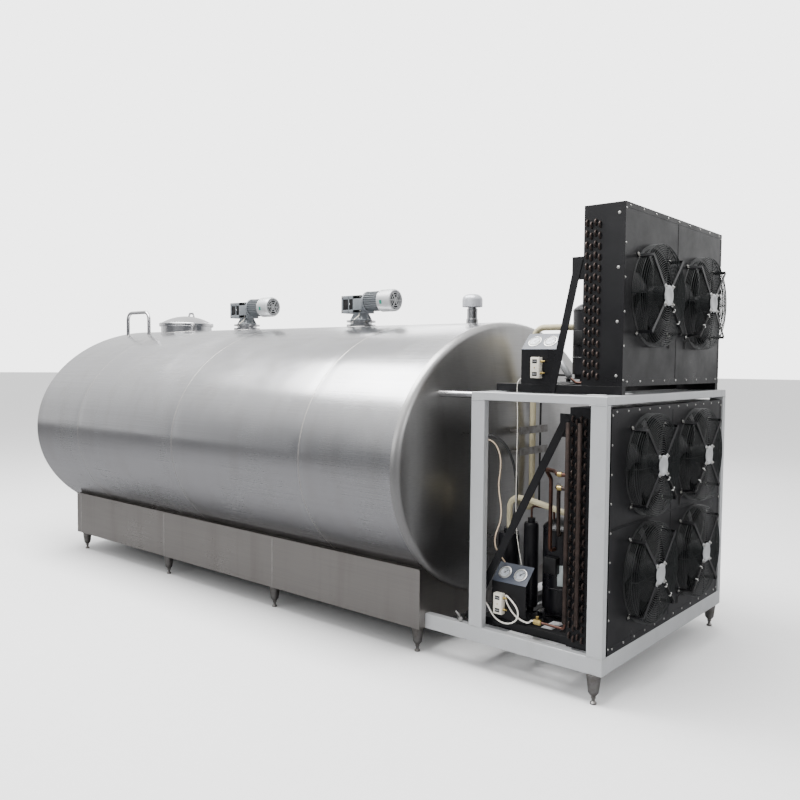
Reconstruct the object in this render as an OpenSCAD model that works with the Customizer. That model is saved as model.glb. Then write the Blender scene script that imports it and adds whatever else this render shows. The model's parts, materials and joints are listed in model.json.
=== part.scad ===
// Bulk milk tank: an oval insulated cooling tank on a skid, with two air-cooled
// condensing units stacked in a frame at one end. Millimetres, +Z up.
// The origin is on the floor under the middle of the object, and +X runs along
// the tank towards the condensing units.

/* [Tank] */
// Length of the barrel between its two rims
barrel_l = 3750; // [3000:10:4500]
// Half width of the oval barrel
barrel_a = 1060; // [880:5:1150]
// Half height of the oval barrel
barrel_b = 790; // [650:5:850]
// Height of the barrel's lowest line above the floor
belly_z = 210; // [205:1:260]
// Depth of the dished ends
dish_depth = 120; // [90:1:150]
// Radius of the knuckle between barrel and dished end
knuckle_r = 40; // [20:1:60]
// Sheet thickness of the outer cladding
clad_t = 3; // [2:0.5:5]
// Sheet thickness of the inner vessel
vessel_t = 3; // [2:0.5:5]
// Thickness of the foam between vessel and cladding
foam_t = 57; // [40:1:70]

/* [Tank fittings] */
// Distance of the manhole's centre from the left rim
manhole_x = 495; // [400:5:600]
// Outside diameter of the manhole neck
neck_d = 420; // [350:5:500]
// Wall of the manhole neck
neck_t = 4; // [3:0.5:6]
// Height of the neck above the barrel's top line
neck_h = 52; // [30:1:80]
// Distance of the first agitator from the left rim
agitator_x = 1310; // [1200:5:1400]
// Distance between the two agitators
agitator_pitch = 1238; // [1000:2:1300]
// Diameter of the agitator shafts
shaft_d = 30; // [25:1:35]
// Length of one agitator blade from the shaft's axis
paddle_r = 350; // [250:5:400]
// Distance of the vent from the right rim
vent_x = 265; // [200:5:400]
// Outside diameter of the vent's stem
vent_d = 55; // [40:1:70]
// Bore of the milk outlet
outlet_bore = 50; // [40:1:65]
// Reach of the milk outlet beyond the dished end
outlet_reach = 150; // [150:1:250]

/* [Base] */
// Half width of the base box
skirt_half_w = 810; // [700:5:850]
// Height of the base box's top edge above the floor
skirt_top_z = 460; // [420:5:500]
// Height of the legs under the base
leg_h = 140; // [120:1:180]
// Distance of the leg centres from the base's outer faces
leg_inset = 55; // [45:1:70]
// Diameter of the levelling spindles
spindle_d = 16; // [12:1:20]

/* [Machine frame] */
// Length of the machine frame along the tank
frame_l = 735; // [700:5:880]
// Width of the machine frame
frame_w = 1524; // [1510:2:1700]
// Height of the frame's top face above the floor
frame_top_z = 1405; // [1400:5:1600]
// Gap between the frame and the barrel's rim
frame_gap = 280; // [240:5:340]
// Long side of the frame's box section
rhs_w = 80; // [70:1:90]
// Short side of the frame's box section
rhs_t = 40; // [35:1:50]
// Wall of the frame's box section
rhs_wall = 3; // [2:0.5:5]

/* [Condensing units] */
// Width of the upper condenser
upper_w = 1264; // [1260:2:1300]
// Height of the upper condenser
upper_h = 852; // [800:2:1022]
// Width of the lower condenser
lower_w = 1410; // [1300:2:1420]
// Height of the lower condenser
lower_h = 1127; // [1100:1:1135]
// Thickness of both condensers
cond_t = 208; // [200:1:250]
// Depth of the fan chamber in front of the fins
plenum_t = 107; // [90:1:115]
// Outside diameter of a fan guard
guard_d = 500; // [490:1:520]
// Depth of a fan guard in front of the panel
guard_depth = 90; // [85:1:110]
// Diameter of an impeller
impeller_d = 444; // [400:2:450]
// Height of the black base channels under each unit
channel_h = 40; // [30:1:45]
// Diameter of the compressors' shells
comp_d = 176; // [150:2:200]

/* [Hidden] */
$fn = 64;
oval_n = 64;

// Clearances
weld_gap = 0.2;
run_gap = 0.05;
seat_gap = 0.3;

// Main stations, measured from the machine frame's right face
axis_z = belly_z + barrel_b;
barrel_x1 = -frame_l - frame_gap;
barrel_x0 = barrel_x1 - barrel_l;
left_end = barrel_x0 - dish_depth - outlet_reach;
upper_front = -28;
lower_front = -5;
right_end = lower_front + guard_depth;
datum_x = -(left_end + right_end) / 2;
half_w = frame_w / 2;

// Vessel inside the foam
vessel_a = barrel_a - clad_t - foam_t;
vessel_b = barrel_b - clad_t - foam_t;
vessel_l = barrel_l - 2 * (clad_t + foam_t);
plate_t = 5;
plate_top = -250;
plate_margin = 200;

// Fittings on the tank
man_x = barrel_x0 + manhole_x;
stir_x = [barrel_x0 + agitator_x, barrel_x0 + agitator_x + agitator_pitch];
vent_at = barrel_x1 - vent_x;
top_z = axis_z + barrel_b;
neck_top = top_z + neck_h;
sleeve_d = 90;
collar_d = 200;
collar_top = top_z + 40;
gear_z0 = collar_top + 50;
gear_h = 120;
gear_w = 130;
gear_left = 130;
gear_right = 62;
motor_z = gear_z0 + 78;
motor_d = 138;
motor_l = 140;
cowl_d = 150;
cowl_l = 112;
shaft_in_gear = 80;
paddle_z = belly_z + 170;
paddle_h = 100;
outlet_od = outlet_bore + 3;
outlet_z = axis_z - vessel_b + vessel_t + outlet_od / 2 + 3;
crown_x0 = barrel_x0 - dish_depth;
valve_x = crown_x0 - 70;
valve_t = 34;
valve_d = 96;
stem_d = 12;

// Lid
lid_d = 450;
lid_t = 3;
gasket_t = 6;
lid_z = neck_top + gasket_t;
lid_rise = 70;
hinge_r = 11;
hinge_x = man_x - lid_d / 2 - 22;
hinge_z = lid_z + 8;
pin_d = 10;

// Base
skirt_t = 3;
skirt_x0 = barrel_x0 + 145;
skirt_x1 = barrel_x1 - 2;
base_z = leg_h;
rail_h = 60;
rail_w = 100;
saddle_t = 12;
leg_pitch = (skirt_x1 - skirt_x0 - 2 * leg_inset) / 3;
leg_xs = [for (i = [0:3]) skirt_x0 + leg_inset + i * leg_pitch];
frame_leg_inset = 25;
leg_places = concat(
  [for (x = leg_xs, s = [-1, 1]) [x, s * (skirt_half_w - leg_inset)]],
  [for (s = [-1, 1]) [-50, s * (half_w - frame_leg_inset)]]);

// Frame
bottom_top = base_z + rhs_w;
top_bottom = frame_top_z - rhs_t;

// Condensers: [front face x, centre y, bottom z, width, height]
upper_y = 70;
lower_y = 0;
upper_z = frame_top_z + channel_h;
lower_z = bottom_top;
sheet_t = 2;
hole_r = impeller_d / 2 + 9;
lip_l = 40;
fan_pitch = 612;
lower_rise = 318;
lower_pitch_z = 527;
upper_fan_z = upper_z + 438;
fans = [[upper_front, upper_y - fan_pitch / 2, upper_fan_z],
  [upper_front, upper_y + fan_pitch / 2, upper_fan_z],
  [lower_front, lower_y - fan_pitch / 2, lower_z + lower_rise],
  [lower_front, lower_y + fan_pitch / 2, lower_z + lower_rise],
  [lower_front, lower_y - fan_pitch / 2, lower_z + lower_rise + lower_pitch_z],
  [lower_front, lower_y + fan_pitch / 2, lower_z + lower_rise + lower_pitch_z]];
wire_d = 4;
hub_r = 52;
hub_x = guard_depth - 2 * wire_d - 4;
rotor_front = 18;
rotor_back = -46;
blade_chord = 118;
blade_pitch = 22;

// Coil
tube_pitch = 25.4;
column_pitch = 22;
bend_tube_d = 9.5;

// Black base channels
channel_w = 40;
upper_ch_x0 = -720;
upper_ch_y = [upper_y - upper_w / 2, upper_y + upper_w / 2 - channel_w];
lower_ch_x0 = -800;
lower_ch_y = [-692, 692 - channel_w];
lower_ch_x1 = lower_front - cond_t - 2;
upper_cross = [-660, -560, -440, -300];
lower_cross = [-710, -582, -480, -320];
comp_upper = [-510, 38];
bottle_upper = [-640, 300];
bottle_upper_d = 110;
comp_lower = [-400, -412];
comp_h = 440;
comp_lower_d = 200;
comp_lower_h = 500;
upper_deck = frame_top_z + channel_h;
lower_deck = bottom_top + channel_h;

// Gauge panels: [left x, front y, foot z, height of the front]
panel_w = 200;
panel_d = 80;
panel_t = 2;
face_t = 3;
panels = [[-572, upper_ch_y[0], upper_deck, 172], [-650, -680, lower_deck, 189]];
gauge_d = 60;
gauge_h = 26;
gauge_lift = 9;
dial_depth = 5;
dial_pin = 3;
gauge_at = [55, 145];
ctrl = [50, 34, 105];
ctrl_places = [[-500, panels[0][1], upper_deck + 30], [-620, panels[1][1], lower_deck + 32]];

// Pipe runs
suction_d = 30;
riser_d = 36;
copper_d = 20;
liquid_d = 12;
riser_x = barrel_x1 + dish_depth + 34;
riser_y = 38;
liquid_y = 138;
strap_zs = [1042, 1163];
strap_y0 = -140;
strap_y1 = 170;
suction_in = [110, -68];
valve_at = [-352, -729, 310];

// Cord routes, hand set
loop_d = 8;
loop_route = [[-668, -717.6, 340], [-662, -710, 333], [-652, -705, 316], [-638, -703, 294],
  [-617, -702, 272], [-590, -702, 258], [-560, -703, 253], [-530, -704, 257],
  [-503, -705, 270], [-484, -706, 290], [-476, -707, 313], [-480, -708, 337],
  [-494, -709, 358], [-514, -708, 376], [-535, -704, 388], [-550, -697, 391],
  [-560, -690, 388.5], [-563, -685, 377], [-558, -685, 357], [-545, -685, 337], [-528, -685, 316],
  [-505, -686, 298], [-476, -689, 286], [-446, -695, 282], [-418, -706, 286],
  [-398, -719, 301], [-385, -728, 309], [-372.8, -729, 310]];
black_d = 14;
black_route = [[-664, -714.6, 1186], [-652, -711, 1186], [-636, -702, 1182], [-620, -688, 1172],
  [-605, -671, 1154], [-592, -653, 1128], [-582, -636, 1095], [-575, -621, 1055],
  [-570, -608, 1010], [-568, -598, 960], [-569, -590, 910], [-573, -584, 860],
  [-581, -579, 810], [-594, -576, 762], [-611, -573, 716], [-630, -571, 672],
  [-649, -570, 628], [-664, -569, 584], [-675, -569, 540], [-682, -569, 494],
  [-686, -569, 446], [-689, -569, 398], [-690, -569, 350], [-690, -569, 304], [-690, -569, 260.4]];
cream_d = 7;
cream_route = [[-664, -718, 1165], [-653, -714, 1164], [-640, -706, 1156], [-628, -696, 1140],
  [-619, -687, 1116], [-613, -680, 1086], [-611, -676, 1052], [-613, -674, 1016],
  [-618, -674, 980], [-622, -674, 945], [-620, -674, 910], [-614, -675, 876],
  [-607, -676, 842], [-603, -677, 807], [-604, -678, 772], [-612, -679, 738],
  [-624, -680, 706], [-634, -680, 674], [-637, -678, 643], [-633, -672, 614],
  [-627, -660, 590], [-623, -643, 570], [-622, -625, 552], [-622, -606, 533]];
link_d = 4;
link_route = [[-572.5, -545, 1475], [-579, -545, 1474], [-584, -551, 1468], [-587, -562, 1458],
  [-588, -569, 1442], [-587, -573, 1415], [-582, -579, 1360], [-573, -588, 1290],
  [-563, -602, 1210], [-555, -616, 1130], [-550, -625, 1050], [-549, -627, 970],
  [-549, -627, 890], [-549, -626, 810], [-547, -624, 740], [-543, -621, 680],
  [-535, -618, 625], [-529, -612, 580], [-526, -607, 553], [-526, -602, 535]];

// ---- Functions ----

function unit(v) = v / norm(v);

// Radius of a dished end's crown, for a rim radius r, knuckle k and depth d
function crown_r(r, k, d) = (r * r - 2 * r * k + d * d) / (2 * (d - k));

// Points round the barrel's oval section
function oval_points(a, b) = [for (i = [0:oval_n - 1]) [a * cos(360 * i / oval_n), b * sin(360 * i / oval_n)]];

// Radius and depth of each ring of a dished end, from its flange to near its crown
function dish_rings(r, k, d, flange) =
  let (big = crown_r(r, k, d), kx = r - k, lean = atan2(kx, big - d))
  concat([[r, -flange]],
    [for (i = [0:3]) let (t = (90 - lean) * i / 3) [kx + k * cos(t), k * sin(t)]],
    [for (i = [1:4]) let (t = lean * (1 - i / 5)) [big * sin(t), d - big + big * cos(t)]]);

function dish_points(rings, a, b, x, s) =
  [for (g = rings, p = oval_points(a * g[0] / b, g[0])) [x + s * g[1], p[0], axis_z + p[1]]];

function dish_faces(rows, n) = concat(
  [for (i = [0:rows - 2], j = [0:n - 1]) let (m = (j + 1) % n)
    [i * n + j, (i + 1) * n + j, (i + 1) * n + m, i * n + m]],
  [for (j = [0:n - 1]) [(rows - 1) * n + j, rows * n, (rows - 1) * n + (j + 1) % n]]);

// Points that round the corner at b with radius r, n steps
function corner(a, b, c, r, n) =
  let (u = unit(a - b), w = unit(c - b), half = acos(u * w) / 2,
    t = r / tan(half), o = b + unit(u + w) * r / sin(half),
    e0 = (b + u * t - o) / r, e1 = (b + w * t - o) / r, turn = 180 - 2 * half)
  [for (i = [0:n]) o + r * (sin(turn * (1 - i / n)) * e0 + sin(turn * i / n) * e1) / sin(turn)];

// A polyline with its corners rounded
function bent(p, r, n = 5) = concat([p[0]],
  [for (i = [1:len(p) - 2]) each corner(p[i - 1], p[i], p[i + 1], r, n)],
  [p[len(p) - 1]]);

// Direction of a path at point i
function heading(p, i) = unit(p[min(i + 1, len(p) - 1)] - p[max(i - 1, 0)]);

// The part of v that is square to t
function square_to(v, t) = unit(v - (v * t) * t);

function start_side(t) = square_to(abs(t[2]) < 0.8 ? [0, 0, 1] : [1, 0, 0], t);

// ---- Shared shapes ----

// A round tube along a path, closed at both ends
module sweep(p, d, sides = 10) {
  n = len(p);
  sidesteps = [for (i = 0, s = start_side(heading(p, 0)); i < n;
    i = i + 1, s = square_to(s, heading(p, min(i, n - 1)))) s];
  rings = [for (i = [0:n - 1]) let (t = heading(p, i), s = sidesteps[i], c = cross(t, s))
    for (j = [0:sides - 1]) p[i] + d / 2 * (cos(360 * j / sides) * s + sin(360 * j / sides) * c)];
  walls = [for (i = [0:n - 2], j = [0:sides - 1]) let (k = (j + 1) % sides)
    [i * sides + j, (i + 1) * sides + j, (i + 1) * sides + k, i * sides + k]];
  near_cap = [for (j = [0:sides - 1]) j];
  far_cap = [for (j = [sides - 1:-1:0]) (n - 1) * sides + j];
  polyhedron(concat(rings), concat([near_cap, far_cap], walls), 6);
}

// Moves a piece from the frame's right face to the model's origin
module at_datum() {
  translate([datum_x, 0, 0]) children();
}

// Runs along +X from x, with the drawing's x across and its y upwards
module along_x(x, l) {
  translate([x, 0, 0]) rotate([90, 0, 90]) linear_extrude(l) children();
}

module oval(a, b) {
  polygon(oval_points(a, b));
}

// A solid oval bar of the barrel's section, on the tank's axis
module oval_bar(a, b, x, l) {
  along_x(x, l) translate([0, axis_z]) oval(a, b);
}

// A dished end whose rim is at x and whose crown points to side s: solid, or a
// shell where a wall is given
module dish(a, b, k, d, flange, x, s, wall = 0) {
  outer = dish_rings(b, k, d, flange);
  inner = dish_rings(b - wall, k - wall, d - wall, flange);
  rows = len(outer);
  n = oval_n;
  skin = concat(dish_points(outer, a, b, x, s), [[x + s * d, 0, axis_z]]);
  lining = wall == 0 ? [] :
    concat(dish_points(inner, a - wall, b - wall, x, s), [[x + s * (d - wall), 0, axis_z]]);
  base = rows * n + 1;
  near = wall == 0 ? [[for (j = [n - 1:-1:0]) j]] : concat(
    [for (f = dish_faces(rows, n)) [for (q = [len(f) - 1:-1:0]) f[q] + base]],
    [for (j = [0:n - 1]) let (m = (j + 1) % n) [m, j, j + base, m + base]]);
  faces = concat(dish_faces(rows, n), near);
  polyhedron(concat(skin, lining), s > 0 ? faces : [for (f = faces) [for (q = [len(f) - 1:-1:0]) f[q]]], 6);
}

// The solid outline of the vessel's barrel, shrunk by a wall
module vessel_bar(wall) {
  oval_bar(vessel_a - wall, vessel_b - wall, barrel_x0 + clad_t + foam_t, vessel_l);
}

// Upright round cutters for everything that enters through the tank's top
module top_cutters(gap) {
  z0 = axis_z + vessel_b / 2;
  h = top_z + 50 - z0;
  translate([man_x, 0, z0]) cylinder(d = neck_d + 2 * gap, h = h);
  for (x = stir_x) translate([x, 0, z0]) cylinder(d = sleeve_d + 2 * gap, h = h);
  translate([vent_at, 0, z0]) cylinder(d = vent_d + 2 * gap, h = h);
}

module outlet_cutter(gap) {
  translate([crown_x0 - 100, 0, outlet_z]) rotate([0, 90, 0])
    cylinder(d = outlet_od + 2 * gap, h = 400);
}

// A closed box section
module rhs(size, wall = rhs_wall) {
  difference() {
    cube(size);
    translate([wall, wall, wall]) cube(size - 2 * [wall, wall, wall]);
  }
}

// A flat bar of thickness t along Y between two points of the XZ plane
module flat_bar(p, q, w, y, t) {
  l = norm(q - p);
  translate([p[0], y + t, p[1]]) rotate([90, -atan2(q[1] - p[1], q[0] - p[0]), 0])
    translate([-w / 2, -w / 2, 0]) cube([l + w, w, t]);
}

// ---- Base ----

module base_skirt() {
  l = skirt_x1 - skirt_x0;
  h = skirt_top_z - base_z;
  w = 2 * skirt_half_w;
  lip = 25;
  color("silver") at_datum() difference() {
    translate([skirt_x0, -skirt_half_w, base_z]) difference() {
      cube([l, w, h]);
      translate([skirt_t, skirt_t, skirt_t]) cube([l - 2 * skirt_t, w - 2 * skirt_t, h - 2 * skirt_t]);
      translate([lip, lip, -1]) cube([l - 2 * lip, w - 2 * lip, skirt_t + 2]);
    }
    oval_bar(barrel_a + weld_gap, barrel_b + weld_gap, skirt_x0 - 1, l + 2);
  }
}

module base_frame() {
  l = skirt_x1 - skirt_x0 - 2 * skirt_t;
  x0 = skirt_x0 + skirt_t;
  z0 = base_z + skirt_t;
  inner = skirt_half_w - skirt_t - rail_w;
  color("gray") at_datum() {
    for (y = [-inner - rail_w, inner]) translate([x0, y, z0]) rhs([l, rail_w, rail_h], 4);
    for (x = leg_xs) difference() {
      translate([x - saddle_t / 2, -inner + weld_gap, z0])
        cube([saddle_t, 2 * (inner - weld_gap), skirt_top_z - skirt_t - 1 - z0]);
      oval_bar(barrel_a, barrel_b, skirt_x0, l);
      for (y = [-450, 0, 450]) translate([x - saddle_t, y, z0 + 32]) rotate([0, 90, 0])
        cylinder(d = 36, h = 2 * saddle_t);
    }
  }
}

module leg_cups() {
  color("silver") at_datum() for (p = leg_places) translate([p[0], p[1], 0]) difference() {
    union() {
      translate([0, 0, 42]) cylinder(r1 = 15, r2 = 24, h = 13);
      translate([0, 0, 55]) cylinder(r1 = 24, r2 = 35, h = leg_h - 55);
    }
    translate([0, 0, 41]) cylinder(d = spindle_d + 2 * run_gap, h = 61);
  }
}

module levelling_feet() {
  color("dimgray") at_datum() for (p = leg_places) translate([p[0], p[1], 0]) union() {
    cylinder(r = 15, h = 8);
    translate([0, 0, 8]) cylinder(r1 = 15, r2 = spindle_d / 2, h = 6);
    translate([0, 0, 14]) cylinder(d = spindle_d, h = 86);
    translate([0, 0, 28]) cylinder(d = 24, h = 10, $fn = 6);
  }
}

// ---- Tank ----

module outer_barrel() {
  color("lightgray") at_datum() difference() {
    along_x(barrel_x0, barrel_l) translate([0, axis_z]) difference() {
      oval(barrel_a, barrel_b);
      oval(barrel_a - clad_t, barrel_b - clad_t);
    }
    top_cutters(weld_gap);
  }
}

module outer_heads() {
  color("lightgray") at_datum() difference() {
    union() for (s = [-1, 1]) let (x = s < 0 ? barrel_x0 : barrel_x1)
      dish(barrel_a, barrel_b, knuckle_r, dish_depth, 0.1, x + 0.2 * s, s, clad_t);
    outlet_cutter(weld_gap);
  }
}

module foam_barrel() {
  x0 = barrel_x0 + clad_t + foam_t;
  color("khaki") at_datum() difference() {
    along_x(x0, vessel_l) translate([0, axis_z]) difference() {
      oval(barrel_a - clad_t, barrel_b - clad_t);
      oval(vessel_a, vessel_b);
      intersection() {
        oval(vessel_a + plate_t, vessel_b + plate_t);
        translate([-barrel_a, -barrel_b]) square([2 * barrel_a, barrel_b + plate_top]);
      }
    }
    top_cutters(weld_gap);
  }
}

module foam_heads() {
  reach = clad_t + foam_t;
  inset = clad_t + seat_gap;
  color("khaki") at_datum() difference() {
    union() for (s = [-1, 1]) let (x = s < 0 ? barrel_x0 : barrel_x1)
      dish(barrel_a - inset, barrel_b - inset, knuckle_r - inset, dish_depth - inset, reach, x, s);
    for (s = [-1, 1]) let (x = (s < 0 ? barrel_x0 : barrel_x1) - s * (reach - seat_gap))
      dish(vessel_a, vessel_b, knuckle_r, dish_depth, 20, x, s);
    outlet_cutter(weld_gap);
  }
}

module inner_vessel() {
  x0 = barrel_x0 + clad_t + foam_t;
  color("white") at_datum() difference() {
    union() {
      along_x(x0, vessel_l) translate([0, axis_z]) difference() {
        oval(vessel_a, vessel_b);
        oval(vessel_a - vessel_t, vessel_b - vessel_t);
      }
      for (s = [-1, 1]) dish(vessel_a, vessel_b, knuckle_r, dish_depth, 0.1,
        (s < 0 ? x0 : x0 + vessel_l) + 0.1 * s, s, vessel_t);
    }
    top_cutters(weld_gap);
    outlet_cutter(weld_gap);
  }
}

module evaporator_plates() {
  l = (vessel_l - 2 * plate_margin - 40) / 3;
  color("lightsteelblue") at_datum() for (i = [0:2])
    along_x(barrel_x0 + clad_t + foam_t + plate_margin + i * (l + 20), l)
      translate([0, axis_z]) intersection() {
        difference() {
          oval(vessel_a + plate_t - weld_gap, vessel_b + plate_t - weld_gap);
          oval(vessel_a + weld_gap, vessel_b + weld_gap);
        }
        translate([-barrel_a, -barrel_b]) square([2 * barrel_a, barrel_b + plate_top]);
      }
}

module manhole_neck() {
  lug_t = 8;
  color("silver") at_datum() difference() {
    union() {
      translate([man_x, 0, axis_z]) cylinder(d = neck_d, h = neck_top - axis_z);
      for (y = [-34, 34 - lug_t]) translate([hinge_x - hinge_r, y, neck_top - 30])
        cube([man_x - neck_d / 2 + 2 - hinge_x + hinge_r, lug_t, 14]);
      for (y = [-34, 34 - lug_t]) hull() {
        translate([hinge_x, y + lug_t, hinge_z]) rotate([90, 0, 0]) cylinder(r = hinge_r, h = lug_t);
        translate([hinge_x - hinge_r, y, neck_top - 20]) cube([2 * hinge_r, lug_t, 1]);
      }
    }
    translate([man_x, 0, axis_z - 1]) cylinder(d = neck_d - 2 * neck_t, h = neck_top);
    translate([hinge_x, 50, hinge_z]) rotate([90, 0, 0]) cylinder(d = pin_d + 2 * run_gap, h = 100);
    vessel_bar(vessel_t);
  }
}

module manhole_gasket() {
  color("black") at_datum() translate([man_x, 0, neck_top]) difference() {
    cylinder(d = neck_d + 2, h = gasket_t - seat_gap);
    translate([0, 0, -1]) cylinder(d = neck_d - 2 * neck_t - 4, h = gasket_t + 2);
  }
}

// A shallow domed lid with a turned-down edge, a hinge knuckle and a plate handle
module manhole_lid() {
  ball = (pow(lid_d / 2, 2) + pow(lid_rise, 2)) / (2 * lid_rise);
  knuckle_w = 68 - 2 * 8 - 2;
  color("silver") at_datum() difference() {
    union() {
      translate([man_x, 0, lid_z]) rotate_extrude($fn = 96) union() {
        intersection() {
          difference() {
            translate([0, lid_rise - ball]) circle(ball);
            translate([0, lid_rise - ball]) circle(ball - lid_t);
          }
          square([lid_d / 2, lid_rise + 1]);
        }
        translate([neck_d / 2 - 12, 0]) square([lid_d / 2 - neck_d / 2 + 12, lid_t]);
        translate([lid_d / 2 - lid_t, -18]) square([lid_t, 20]);
      }
      translate([hinge_x, knuckle_w / 2, hinge_z]) rotate([90, 0, 0])
        cylinder(r = hinge_r - 1, h = knuckle_w);
      translate([hinge_x, -knuckle_w / 2, lid_z]) cube([24, knuckle_w, 10]);
      translate([man_x - 60, 92, lid_z + 30]) rotate([0, 0, 20]) difference() {
        linear_extrude(78) polygon([[-45, -3], [45, -3], [45, 3], [-45, 3]]);
        translate([0, 10, 48]) rotate([90, 0, 0]) cylinder(d = 34, h = 20);
        for (s = [-1, 1]) translate([s * 60, 0, 64]) rotate([0, s * 38, 0]) cube([30, 20, 90], center = true);
      }
    }
    translate([hinge_x, 50, hinge_z]) rotate([90, 0, 0]) cylinder(d = pin_d + 2 * run_gap, h = 100);
  }
}

module lid_hinge_pin() {
  color("dimgray") at_datum() translate([hinge_x, 0, hinge_z]) rotate([90, 0, 0]) {
    translate([0, 0, -40]) cylinder(d = pin_d, h = 80);
    for (s = [-1, 1]) translate([0, 0, s * 43.5]) cylinder(d = 22, h = 7, center = true);
  }
}

module hoop_handle() {
  span = 320;
  rise = 200;
  y = -312;
  z = axis_z + barrel_b * sqrt(1 - pow(y / barrel_a, 2));
  x = barrel_x0 + 255;
  route = [[x - span / 2, y, z - 30], [x - span / 2, y, z + rise - 14],
    [x + span / 2, y, z + rise - 14], [x + span / 2, y, z - 30]];
  color("silver") at_datum() difference() {
    sweep(bent(route, 60, 6), 28, 12);
    oval_bar(barrel_a, barrel_b, x - span, 2 * span);
  }
}

module agitator_mounts() {
  color("silver") at_datum() for (x = stir_x) difference() {
    union() {
      translate([x, 0, axis_z]) cylinder(d = sleeve_d, h = collar_top - axis_z);
      difference() {
        translate([x, 0, top_z - 20]) cylinder(d = collar_d, h = 12 + 20);
        oval_bar(barrel_a, barrel_b, x - collar_d, 2 * collar_d);
      }
      translate([x, 0, collar_top - 12]) cylinder(d = collar_d, h = 12);
      translate([x, 0, top_z + 11]) cylinder(d = collar_d - 50, h = collar_top - top_z - 20);
    }
    translate([x, 0, axis_z - 1]) cylinder(d = sleeve_d - 12, h = collar_top);
    vessel_bar(vessel_t);
  }
}

module gear_housings() {
  window = [gear_left - 36, 10, gear_h - 50];
  color("gray") at_datum() for (x = stir_x) difference() {
    union() {
      translate([x, 0, collar_top]) cylinder(d = 150, h = 10);
      translate([x, 0, collar_top]) cylinder(d = 104, h = gear_z0 - collar_top + 5);
      translate([x - gear_left, -gear_w / 2, gear_z0]) cube([gear_left + gear_right, gear_w, gear_h]);
    }
    translate([x, 0, collar_top - 1]) cylinder(d = 70, h = gear_z0 - collar_top - 14);
    translate([x, 0, collar_top]) cylinder(d = shaft_d + 2 * run_gap, h = gear_z0 - collar_top + shaft_in_gear);
    for (s = [-1, 1]) translate([x - gear_left + 18, s * gear_w / 2 - 5, gear_z0 + 25]) cube(window);
  }
}

module agitator_motors() {
  color("dimgray") at_datum() for (x = stir_x) translate([x + gear_right, 0, motor_z]) {
    rotate([0, 90, 0]) cylinder(d = 120, h = motor_l);
    for (i = [0:11]) rotate([i * 30 + 15, 0, 0]) translate([12, -2, 55]) cube([motor_l - 24, 4, motor_d / 2 - 55]);
    rotate([0, 90, 0]) cylinder(d = motor_d, h = 10);
    translate([30, 58, 10]) cube([90, 36, 66]);
  }
}

module motor_cowls() {
  color("lightgray") at_datum() for (x = stir_x) translate([x + gear_right + motor_l + seat_gap, 0, motor_z])
    rotate([0, 90, 0]) difference() {
      union() {
        cylinder(d = cowl_d, h = cowl_l - 8);
        translate([0, 0, cowl_l - 8]) cylinder(d1 = cowl_d, d2 = cowl_d - 20, h = 8);
      }
      translate([0, 0, 12]) cylinder(d = cowl_d - 4, h = cowl_l - 24);
      for (r = [24, 40, 56]) translate([0, 0, cowl_l - 14]) difference() {
        cylinder(r = r + 4, h = 20);
        translate([0, 0, -1]) cylinder(r = r - 4, h = 22);
        for (i = [0:2]) rotate([0, 0, i * 60]) cube([200, 6, 60], center = true);
      }
    }
}

module agitator(x) {
  color("silver") at_datum() translate([x, 0, 0]) union() {
    translate([0, 0, paddle_z]) cylinder(d = shaft_d, h = gear_z0 + shaft_in_gear - 14 - paddle_z);
    translate([0, 0, paddle_z - 4]) cylinder(d = 62, h = paddle_h + 8);
    for (a = [0, 180]) rotate([0, 0, a]) translate([20, 0, paddle_z + paddle_h / 2]) rotate([20, 0, 0])
      translate([0, -3, -paddle_h / 2 + 4]) cube([paddle_r - 20, 6, paddle_h - 8]);
  }
}

module agitator_left() { agitator(stir_x[0]); }

module agitator_right() { agitator(stir_x[1]); }

module vent_stem() {
  color("silver") at_datum() translate([vent_at, 0, 0]) difference() {
    union() {
      translate([0, 0, axis_z]) cylinder(d = vent_d, h = barrel_b + 130);
      translate([0, 0, top_z]) cylinder(d = vent_d + 18, h = 25);
      translate([0, 0, top_z + 80]) cylinder(d = vent_d + 10, h = 8);
    }
    translate([0, 0, axis_z - 1]) cylinder(d = vent_d - 4, h = barrel_b + 200);
    translate([-vent_at, 0, 0]) vessel_bar(vessel_t);
  }
}

module vent_cap() {
  cap_r = 62;
  color("whitesmoke") at_datum() translate([vent_at, 0, top_z + 100]) rotate_extrude() difference() {
    union() {
      square([cap_r, 40]);
      translate([0, 40]) square([cap_r - 37, 37]);
      intersection() {
        translate([cap_r - 37, 40]) circle(37);
        translate([cap_r - 37, 40]) square(40);
      }
    }
    translate([0, -1]) square([cap_r - 3, 20]);
    translate([0, -1]) square([vent_d / 2 + seat_gap, 16]);
    translate([0, 10]) square([vent_d / 2 + seat_gap, 30]);
  }
}

// The outlet pipe, the valve's body and the hose end
module outlet_valve() {
  z = outlet_z;
  color("silver") at_datum() difference() {
    union() {
      translate([left_end, 0, z]) rotate([0, 90, 0])
        cylinder(d = outlet_od, h = barrel_x0 + clad_t + foam_t - 20 - left_end);
      translate([valve_x - valve_t / 2, 0, z]) rotate([0, 90, 0]) cylinder(d = valve_d, h = valve_t);
      translate([valve_x, 0, z]) cylinder(d = 26, h = valve_d / 2 + 16);
      translate([left_end, 0, z]) rotate([0, 90, 0]) cylinder(d = outlet_od + 14, h = 16);
    }
    translate([left_end - 1, 0, z]) rotate([0, 90, 0]) cylinder(d = outlet_bore, h = 600);
    translate([valve_x, 0, z - outlet_bore / 2 - 12]) cylinder(d = stem_d + 2 * run_gap, h = 200);
  }
}

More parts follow.
